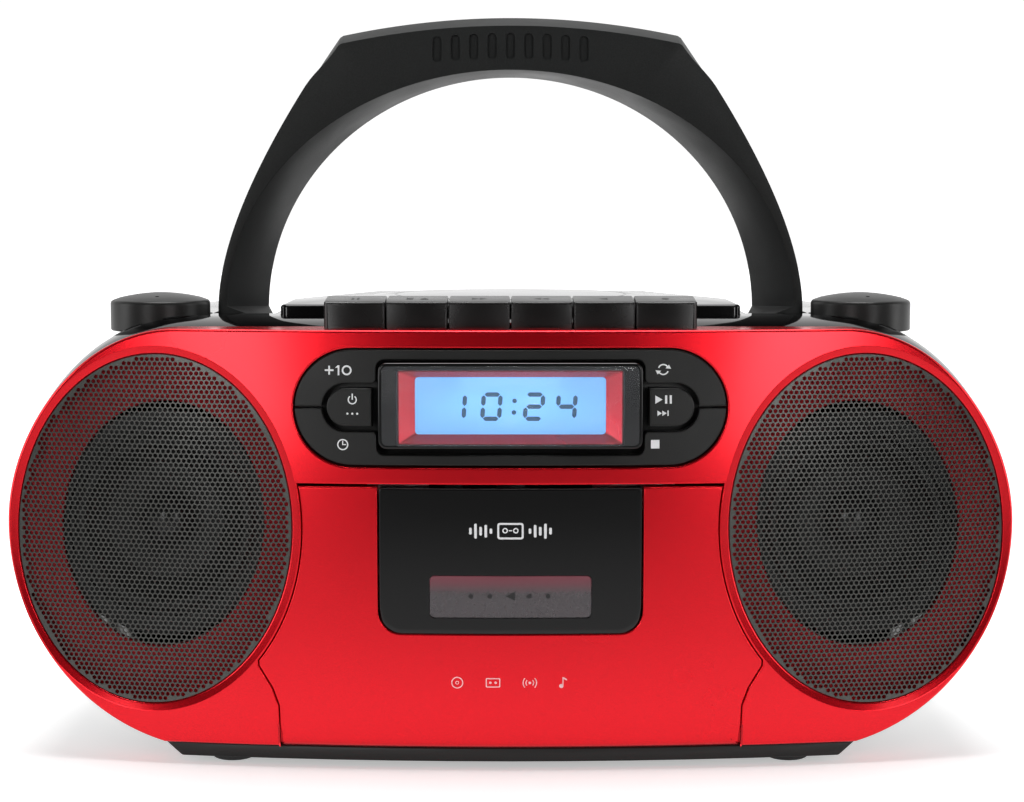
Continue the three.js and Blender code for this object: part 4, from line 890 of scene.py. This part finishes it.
BEZEL_RINGS = [((-46, 46, 136.9, 167.4, 0.9), -86.8), ((-46, 46, 136.9, 167.4, 0.9), -92.3),
               ((-45.5, 45.5, 137.4, 166.9, 0.6), -92.6), ((-39.2, 39.2, 140.6, 164.2, 1.5), -86.8)]
piece("bezel_facets", rings_solid([(rectangle(*shape), y) for shape, y in BEZEL_RINGS]),
      BEZEL, "cabinet", ["display_bezel"], sharp=20)
dress("lcd_panel", soft=0)
dress("display_lens", soft=0)


def bar_shape(p, q, width):
    """Pointed bar from p to q."""
    p, q = Vector(p), Vector(q)
    along = (q - p).normalized()
    across = Vector((-along.y, along.x)) * (width / 2)
    tip = along * (width / 2)
    return [tuple(c) for c in (p, p + tip - across, q - tip - across, q, q - tip + across, p + tip + across)]


def digit(value, x, z, w, h, width):
    """Seven-segment figure with its lower left corner at (x, z)."""
    corners = {"a": ((0, h), (w, h)), "b": ((w, h / 2), (w, h)), "c": ((w, 0), (w, h / 2)),
               "d": ((0, 0), (w, 0)), "e": ((0, 0), (0, h / 2)), "f": ((0, h / 2), (0, h)),
               "g": ((0, h / 2), (w, h / 2))}
    lit = {"0": "abcdef", "1": "bc", "2": "abged", "4": "fgbc"}[value]
    lean, gap = 0.07, 0.25
    shapes = []
    for s in lit:
        (x0, z0), (x1, z1) = corners[s]
        length = math.hypot(x1 - x0, z1 - z0)
        ux, uz = (x1 - x0) / length * gap, (z1 - z0) / length * gap
        p, q = (x0 + ux, z0 + uz), (x1 - ux, z1 - uz)
        shapes.append(bar_shape(*[(x + u + lean * v, z + v) for u, v in (p, q)], width))
    return shapes


def disc(x, z, r, steps=20, turn=1):
    return circle_points(x, z, r, [2 * math.pi * k / steps for k in range(steps)])[::turn]


def ring(x, z, r, width, steps=28):
    return [disc(x, z, r, steps), disc(x, z, r - width, steps, -1)]


figures = []
for value, x in (("1", -26.2), ("0", -11.6), ("2", 5.9), ("4", 19.2)):
    figures += digit(value, x, 147, 6.9, 10, 1.8)
figures += [disc(1.4, 149.6, 0.95), disc(1.7, 154.4, 0.95)]
marks("display_figures", figures, const(-86.3), SEGMENT, "cabinet", 0.04)


def triangle(x, z, w, h):
    """Triangle that points to +X for a positive w."""
    points = [(x - w / 2, z - h / 2), (x + w / 2, z), (x - w / 2, z + h / 2)]
    return points if w > 0 else points[::-1]


def arc_band(x, z, r, width, a0, a1, steps=18):
    turns = np.radians(np.linspace(a0, a1, steps))
    return circle_points(x, z, r, turns) + circle_points(x, z, r - width, turns[::-1])


plus_ten = [rect(-75.9, -72.3, 166.9, 167.6), rect(-74.45, -73.75, 165.45, 166.88),
            rect(-74.45, -73.75, 167.62, 169.05), rect(-70.6, -69.9, 165.2, 169.3),
            [(-71.7, 168.2), (-70.62, 168.3), (-70.62, 169.28)],
            [disc(-66.9, 167.25, 2.05, 24), disc(-66.9, 167.25, 1.35, 24, -1)]]
repeat = [arc_band(62.4, 167.6, 2.3, 0.55, 20, 160), arc_band(62.4, 167.6, 2.3, 0.55, 200, 340),
          [(63.3, 168.1), (65.6, 167.9), (64.7, 169.6)], [(61.5, 167.1), (59.2, 167.3), (60.1, 165.6)]]
marks("marks_upper_rocker", plus_ten + repeat, front_skin, PRINT, "upper_rocker")
clock = [ring(-68.6, 136.9, 2.3, 0.5), rect(-68.85, -68.4, 136.7, 138.5), rect(-68.38, -67.2, 136.7, 137.1)]
stop = rect(57.4, 60.9, 135.4, 138.9)
marks("marks_lower_rocker", clock + [stop], front_skin, PRINT, "lower_rocker")
power = [arc_band(-64.6, 155.3, 1.9, 0.5, 125, 415, 26), rect(-64.87, -64.33, 155.3, 157.8)]
power += [disc(x, 149.6, 0.45, 12) for x in (-66.6, -64.6, -62.6)]
marks("marks_mode_button", power, button_skin, PRINT, "mode_button")
play = [triangle(60.6, 155.4, 3.0, 3.4), rect(63.1, 64.0, 153.7, 157.1), rect(65.0, 65.9, 153.7, 157.1)]
play += [triangle(60.9, 149.8, 1.8, 2.2), triangle(62.9, 149.8, 1.8, 2.2), rect(64.1, 64.6, 148.7, 150.9)]
marks("marks_play_button", play, button_skin, PRINT, "play_button")

# ---- cassette door
door_corners = [DOOR_CORNER, DOOR_CORNER, 1, 1]
door_loop = densify(rectangle(-DOOR_HALF, DOOR_HALF, DOOR_Z0, DOOR_Z1, door_corners, 9), 4)
foot = np.clip((70 - door_loop[:, 1]) / 12, 0, 1)
window_hole = densify(rectangle(-WINDOW_HALF, WINDOW_HALF, WINDOW_Z0, WINDOW_Z1, 2.2), 4)
window_loop = densify(rectangle(-WINDOW_HALF + 0.15, WINDOW_HALF - 0.15, WINDOW_Z0 + 0.15,
                                WINDOW_Z1 - 0.15, 2.1), 4)
door_depth = np.where(door_loop[:, 1] > DOOR_Z1 - 1.2, -84.5, -89.4)
skin_piece("door_face", [(door_loop, rounding(1, 7), 0.8 + 3.6 * foot, door_depth),
                         (window_hole[::-1], rounding(), 0.25, -90.5)],
           front_skin, GLOSS, "cassette_door", ["cassette_door"], step=5, wall=2.4)
skin_piece("door_window", [(window_loop, rounding(), 0.25, -91.0)], lambda x, z: front_skin(x, z) + 0.15,
           SMOKE, "cassette_door", ["cassette_window"], step=5, wall=1.6)
INNER, OUTER = 50.7, 53.1
holder_parts = []
for s in (-1, 1):
    xs = sorted((s * INNER, s * OUTER))
    holder_parts += [block(xs, (-90.9, -78), (64, 112)), block(xs, (-88.5, -78.5), (51.2, 66)),
                     side_bar(s, 3.2, INNER, DOOR_HALF, (PIN_Y, HINGE_Z), 40),
                     side_bar(s, 1.6, 51, 58, (PIN_Y, HINGE_Z), 24)]
holder = carve("holder", block((-OUTER, OUTER), (-88.5, -78.5), (51.2, 52.9)), adds=holder_parts)
piece("cassette_holder", holder, SATIN, "cassette_door", sharp=30)
window_print = [triangle(0, 74.6, -3.6, 3.6)] + [disc(x, 74.6, 0.95, 18) for x in (-16.3, -8.5, 7.7, 15.4)]
marks("window_marks", window_print, lambda x, z: front_skin(x, z) - 0.08, INK, "cassette_door")
badge = [[rectangle(-5.4, 5.4, 98.3, 105.1, 1.1), rectangle(-4.6, 4.6, 99.1, 104.3, 0.5)[::-1]]]
badge += [ring(-2.2, 101.9, 1.15, 0.5, 20), ring(2.2, 101.9, 1.15, 0.5, 20), rect(-0.7, 0.7, 101.7, 102.1)]
for k, height in enumerate((2.2, 5.2, 3.6, 6.2, 2.8)):
    for s in (-1, 1):
        x = s * (8.0 + 2.1 * k)
        badge.append(rectangle(x - 0.55, x + 0.55, 101.7 - height / 2, 101.7 + height / 2, 0.45))
marks("door_badge", badge, front_skin, PRINT, "cassette_door")
row = [ring(-22, 38, 2.5, 0.45), ring(-22, 38, 0.8, 0.35, 16),
       [rectangle(-10.2, -4.2, 36, 40, 0.5), rectangle(-9.75, -4.65, 36.45, 39.55, 0.2)[::-1]],
       disc(-8.3, 38, 0.55, 12), disc(-6.1, 38, 0.55, 12), disc(8, 38, 0.6, 12)]
row += [arc_band(8, 38, r, 0.4, a - 45, a + 45, steps)
        for a in (0, 180) for r, steps in ((1.8, 10), (3.0, 12))]
row += [disc(21.0, 36.6, 0.9, 16), rect(21.5, 21.9, 36.9, 40.4),
        [(21.92, 39.6), (23.4, 38.9), (23.4, 39.5), (21.92, 40.4)]]
marks("panel_marks", row, front_skin, PINK_PRINT, "cabinet")

# ---- keys and knobs
key_names = ["pause", "stop_eject", "fast_forward", "rewind", "play", "record"]
KEY_SIDE = [(-79.6, 180), (-60.4, 180), (-60.4, 196.4), (-79.4, 194.6)]


def key_top(x, y):
    return 194.6 + (y + 79.4) * 1.8 / 19


def key_marks(name):
    """Symbol of a key, drawn in X and Y about (0, 0)."""
    return {
        "pause": [rect(-1.6, -0.6, -1.7, 1.7), rect(0.6, 1.6, -1.7, 1.7)],
        "stop_eject": [rect(-4.6, -1.8, -1.4, 1.4), [(1.2, -0.4), (4.6, -0.4), (2.9, 1.6)],
                       rect(1.2, 4.6, -1.5, -0.8)],
        "fast_forward": [triangle(-1.6, 0, 3.0, 3.2), triangle(1.6, 0, 3.0, 3.2)],
        "rewind": [triangle(-1.6, 0, -3.0, 3.2), triangle(1.6, 0, -3.0, 3.2)],
        "play": [triangle(0, 0, -3.4, 3.4)],
        "record": [disc(0, 0, 1.6, 24)],
    }[name]


for i, name in enumerate(key_names):
    cx = (i - 2.5) * 25.8
    cap = prism(fillet(KEY_SIDE, [0.4, 0.4, 1.0, 1.3], 4), cx - 12.6, cx + 12.6, "x", 0.7, 0.7, 3)
    common = []
    if i in (0, 5):
        s = -1 if i == 0 else 1
        plan = rect(cx - s * 30, cx + s * 12.6, -79.6, -30)
        plan = fillet(plan if s > 0 else plan[::-1], [0, 2.6, 0, 0] if s > 0 else [0, 0, 2.6, 0], 8)
        common = [prism(plan, 170, 200)]
    made = carve("key", cap, adds=[block((cx - 4, cx + 4), (-66.4, -47), (177, 182.6)),
                                   cylinder("x", 3.2, cx - 4, cx + 4, (-47, 180), 32)],
                 cuts=[cylinder("x", 1.8, cx - 6, cx + 6, (-47, 180), 24)], common=common)
    piece(f"key_cap_{name}", made, KEYS, f"key_{name}", [f"key_{name}"], sharp=30)
    verts, faces = [], []
    for outline in key_marks(name):
        first = len(verts)
        shape = [(cx + x, -70.0 + y * 1.5) for x, y in outline]
        for lift in (0.05, -0.05):
            verts += [(x, y, key_top(x, y) + lift) for x, y in shape]
        n = len(shape)
        faces += [list(range(first, first + n)), list(range(first + n, first + 2 * n))[::-1]]
        faces += [[first + k, first + n + k, first + n + (k + 1) % n, first + (k + 1) % n] for k in range(n)]
    piece(f"key_mark_{name}", (verts, faces), INK, f"key_{name}")

for side, name in ((-1, "volume_knob"), (1, "function_knob")):
    profile = [(0, 168), (3, 168), (3, 180), (KNOB_R - 0.5, 180), (KNOB_R, 180.5), (KNOB_R, 191.2)]
    profile += [(KNOB_R - 1.8 + 1.8 * math.cos(t), 191.4 + 1.9 * math.sin(t))
                for t in np.linspace(0.2, 1.35, 7)]
    profile += [(17.5, 194.2), (14, 194.95), (10.5, 195.55), (7, 196.0), (3.5, 196.3), (0, 196.4)]
    knob = carve("knob", lathe(profile, 128, "z", (side * KNOB_X, KNOB_Y, 0)),
                 cuts=[cylinder("z", 0.9, 193.5, 198, (side * KNOB_X + 0.9, KNOB_Y - 13.3), 24)])
    piece(f"{name}_cap", knob, SATIN, name, [name], sharp=30)

# ---- handle
H_Y0, H_Y1, CHAMFER_Y, LEG_X, LEG_INNER_X = -21.0, 13.0, -10.0, 128.8, 108
CORNER_X, CORNER_Z, CROWN_Z, BASE_Z = 74.5, 308.2, 316.1, 187.5
ARCH_A, ARCH_B, ARCH_Z, BACK_SCALE, BACK_DROP = 125, 104.7, 188.2, 110.4 / 125, 1.5


def bezier(a, b, c, steps):
    t = np.linspace(0, 1, steps)[:, None]
    a, b, c = (np.array(p, float) for p in (a, b, c))
    return (1 - t) ** 2 * a + 2 * t * (1 - t) * b + t * t * c


side_curve = bezier((LEG_X, BASE_Z), (LEG_X, BASE_Z + 44), (CORNER_X, CORNER_Z), 120)
top_curve = bezier((CORNER_X, CORNER_Z), (0, 2 * CROWN_Z - CORNER_Z), (-CORNER_X, CORNER_Z), 120)
outer_curve = np.vstack([side_curve, top_curve[1:60]])
outer_angle = np.arctan2(outer_curve[:, 1] - ARCH_Z, outer_curve[:, 0])


def handle_ring(outer, front, back, chamfer=0.0):
    """Section: outer front (lowered by the chamfer), outer middle, outer back, inner back, inner front."""
    (ox, oz), (fx, fz), (bx, bz) = outer, front, back
    return [(ox, H_Y0, oz - chamfer), (ox, CHAMFER_Y, oz), (ox, H_Y1, oz), (bx, H_Y1, bz), (fx, H_Y0, fz)]


rings = []
mid_y, reach = (H_Y0 + H_Y1) / 2, (H_Y1 - H_Y0) / 2
for d in np.concatenate([-reach * np.cos(np.linspace(0.12, math.pi / 2, 9)), [6, 12, 15.5]]):
    half = math.sqrt(reach ** 2 - min(d, 0) ** 2)
    ys = (mid_y - half, min(max(CHAMFER_Y, mid_y - half * 0.6), mid_y + half), mid_y + half)
    z = PIVOT_Z + d
    rings.append([(LEG_X, y, z) for y in ys] + [(LEG_INNER_X, ys[2], z), (LEG_INNER_X, ys[0], z)])
corner_angle = math.atan2(CORNER_Z - ARCH_Z, CORNER_X)
corner_share = [corner_angle - 0.006, corner_angle + 0.006]
angles = sorted(list(np.linspace(0.012, math.pi / 2, 62)) + corner_share)
for angle in angles:
    oz = np.interp(angle, outer_angle, outer_curve[:, 1])
    ox = np.interp(angle, outer_angle, outer_curve[:, 0])
    phi = math.atan2(math.sin(angle) / ARCH_B, math.cos(angle) / ARCH_A)
    ix, iz = ARCH_A * math.cos(phi), ARCH_Z + ARCH_B * math.sin(phi)
    t = min(max((oz - 285) / 21, 0), 1)
    chamfer = 4.2 * t * t * (3 - 2 * t)
    rings.append(handle_ring((ox, oz), (ix, iz), (ix * BACK_SCALE, iz - BACK_DROP), chamfer))
left_rings = [[(-x, y, z) for x, y, z in section] for section in rings[:-1]][::-1]
sections = rings + left_rings
verts = [p for section in sections for p in section]
faces = []
for k in range(len(sections) - 1):
    for i in range(5):
        j = (i + 1) % 5
        faces.append([k * 5 + i, k * 5 + j, (k + 1) * 5 + j, (k + 1) * 5 + i])
faces += [[4, 3, 2, 1, 0], [(len(sections) - 1) * 5 + i for i in range(5)]]
body = add_object("handle_body", (verts, faces))


def soften(form):
    """Rounds the long edges."""
    edges = [e for e in form.edges if e.calc_face_angle(0) > math.radians(13)]
    bmesh.ops.bevel(form, geom=edges, offset=0.9 * MM, segments=3, profile=0.5, affect="EDGES",
                    clamp_overlap=True)


reshape(body.data, face_out, soften)
slots = []
for k in range(9):
    x = (k - 4) * 8
    crown = CROWN_Z - 0.0014 * x * x
    slots.append(prism(rectangle(x - 2, x + 2, crown - 18.4, crown - 7.4, 1.9), -24, -19.2, "y"))
handle = carve("handle_done", solid_of(body),
               cuts=slots + both(lambda s: side_bar(s, 3.8, 95, 140, (PIVOT_Y, PIVOT_Z), 48)))
piece("handle_form", handle, HANDLE, "handle", ["handle"], sharp=28)

# ---- base, back and the working parts inside
dress("base_plate", soft=0.8)
dress("battery_door", soft=0.5)
dress("mains_inlet", soft=0.4)
for row_name in ("front", "rear"):
    for side, name in ((-1, "left"), (1, "right")):
        low, high = box_mm(f"foot_{row_name}_{name}")
        at = ((low[0] + high[0]) / 2, (low[1] + high[1]) / 2, 0)
        pad = lathe([(0, 0), (8.2, 0), (8.8, 0.3), (9, 0.9), (9, high[2]), (0, high[2])], 64, "z", at)
        piece(f"foot_pad_{row_name}_{name}", pad, RUBBER, "cabinet", [f"foot_{row_name}_{name}"])
tube_profile = [(0, AX - 196), (3.2, AX - 196), (3.4, AX - 195.7), (3.4, AX - 6.3), (3.1, AX - 6),
                (0, AX - 6)]
tube = carve("tube", lathe(tube_profile, 48, "x", (0, AY, AZ)),
             adds=[block((AX - 9, AX + 1), (AY - 2.6, AY + 2.6), (AZ - 1.7, AZ + 1.7)),
                   cylinder("z", 2.6, AZ - 1.7, AZ + 1.7, (AX + 1, AY), 32)],
             cuts=[cylinder("x", 2.7, AX - 200, AX - 14, (AY, AZ), 48)])
piece("antenna_outer_tube", tube, CHROME, "antenna_mast", ["antenna_mast"])
tube = carve("tube", cylinder("x", 2.4, AX - 197, AX - 16, (AY, AZ), 40),
             cuts=[cylinder("x", 1.8, AX - 200, AX - 22, (AY, AZ), 40)])
piece("antenna_middle_tube", tube, CHROME, "antenna_tube", ["antenna_tube"])
rod_profile = [(0, AX - 204), (2.4, AX - 204), (3, AX - 203.2), (3, AX - 198.4), (2.6, AX - 197.6),
               (1.5, AX - 197.6), (1.5, AX - 24), (0, AX - 24)]
piece("antenna_inner_rod", lathe(rod_profile, 40, "x", (0, AY, AZ)), CHROME, "antenna_tip",
      ["antenna_tip"])
dress("head_plate", DARK_STEEL, soft=0.15)
for node in ("antenna_swivel", "battery_contact_left", "battery_contact_right", "capstan_flywheel",
             "deck_chassis", "deck_motor", "disc_platter", "disc_sled", "drive_belt", "handle_pin_left",
             "handle_pin_right", "key_shaft", "main_board", "motor_pulley", "supply_spindle",
             "take_up_spindle", "transformer"):
    dress(node, soft=0.15)

# ---- floor, light and camera
floor = bpy.data.objects.new("floor", bpy.data.meshes.new("floor"))
floor.data.from_pydata([(-6, -6, 0), (6, -6, 0), (6, 6, 0), (-6, 6, 0)], [], [(0, 1, 2, 3)])
SCENE.collection.objects.link(floor)
FLOOR = shader("floor_pale", (0.86, 0.86, 0.86), 0.6, grain=300, tone=0.01, patch=2,
               Emission_Color=(1, 1, 1, 1))
floor.data.materials.append(FLOOR)
tree = FLOOR.node_tree
glow = map_range(tree, position(tree, "Object", "Y"), (-0.3, 0.2), (0.0, 0.9))
tree.links.new(glow, tree.nodes["Principled BSDF"].inputs["Emission Strength"])

world = bpy.data.worlds.new("studio")
world.use_nodes = True
SCENE.world = world
tree = world.node_tree
backdrop = tree.nodes["Background"]
fade = map_range(tree, position(tree, "Generated", "Y"), (-0.35, 0.85), (0.06, 1.05), smooth=True)
tree.links.new(fade, backdrop.inputs["Strength"])
set_inputs(backdrop, Color=(1, 1, 1, 1))


def softbox(name, at, aim, size, power, spread):
    light = bpy.data.lights.new(name, "AREA")
    light.shape = "RECTANGLE"
    light.size, light.size_y = size
    light.energy = power
    light.spread = math.radians(spread)
    obj = bpy.data.objects.new(name, light)
    obj.location = at
    obj.rotation_euler = (Vector(aim) - Vector(at)).to_track_quat("-Z", "Y").to_euler()
    SCENE.collection.objects.link(obj)


for side, name in ((-1, "left"), (1, "right")):
    softbox(f"key_{name}", (side * 0.7, -1.45, 0.42), (0, 0, 0.14), (0.3, 0.75), 0.55, 60)
    softbox(f"edge_{name}", (side * 1.3, -0.25, 0.35), (0, -0.05, 0.12), (0.5, 0.8), 1.0, 80)
softbox("over", (0, 0.0, 1.2), (0, 0.05, 0), (0.9, 0.5), 2.4, 70)

camera = bpy.data.objects.new("camera", bpy.data.cameras.new("camera"))
camera.data.lens = 71.4
camera.data.sensor_width = 36
camera.data.shift_x = 0.0015
camera.location = (0, -0.916, 0.237)
camera.rotation_euler = (math.radians(90 - 5.69), 0, 0)
SCENE.collection.objects.link(camera)
SCENE.camera = camera
SCENE.view_settings.view_transform = "Standard"
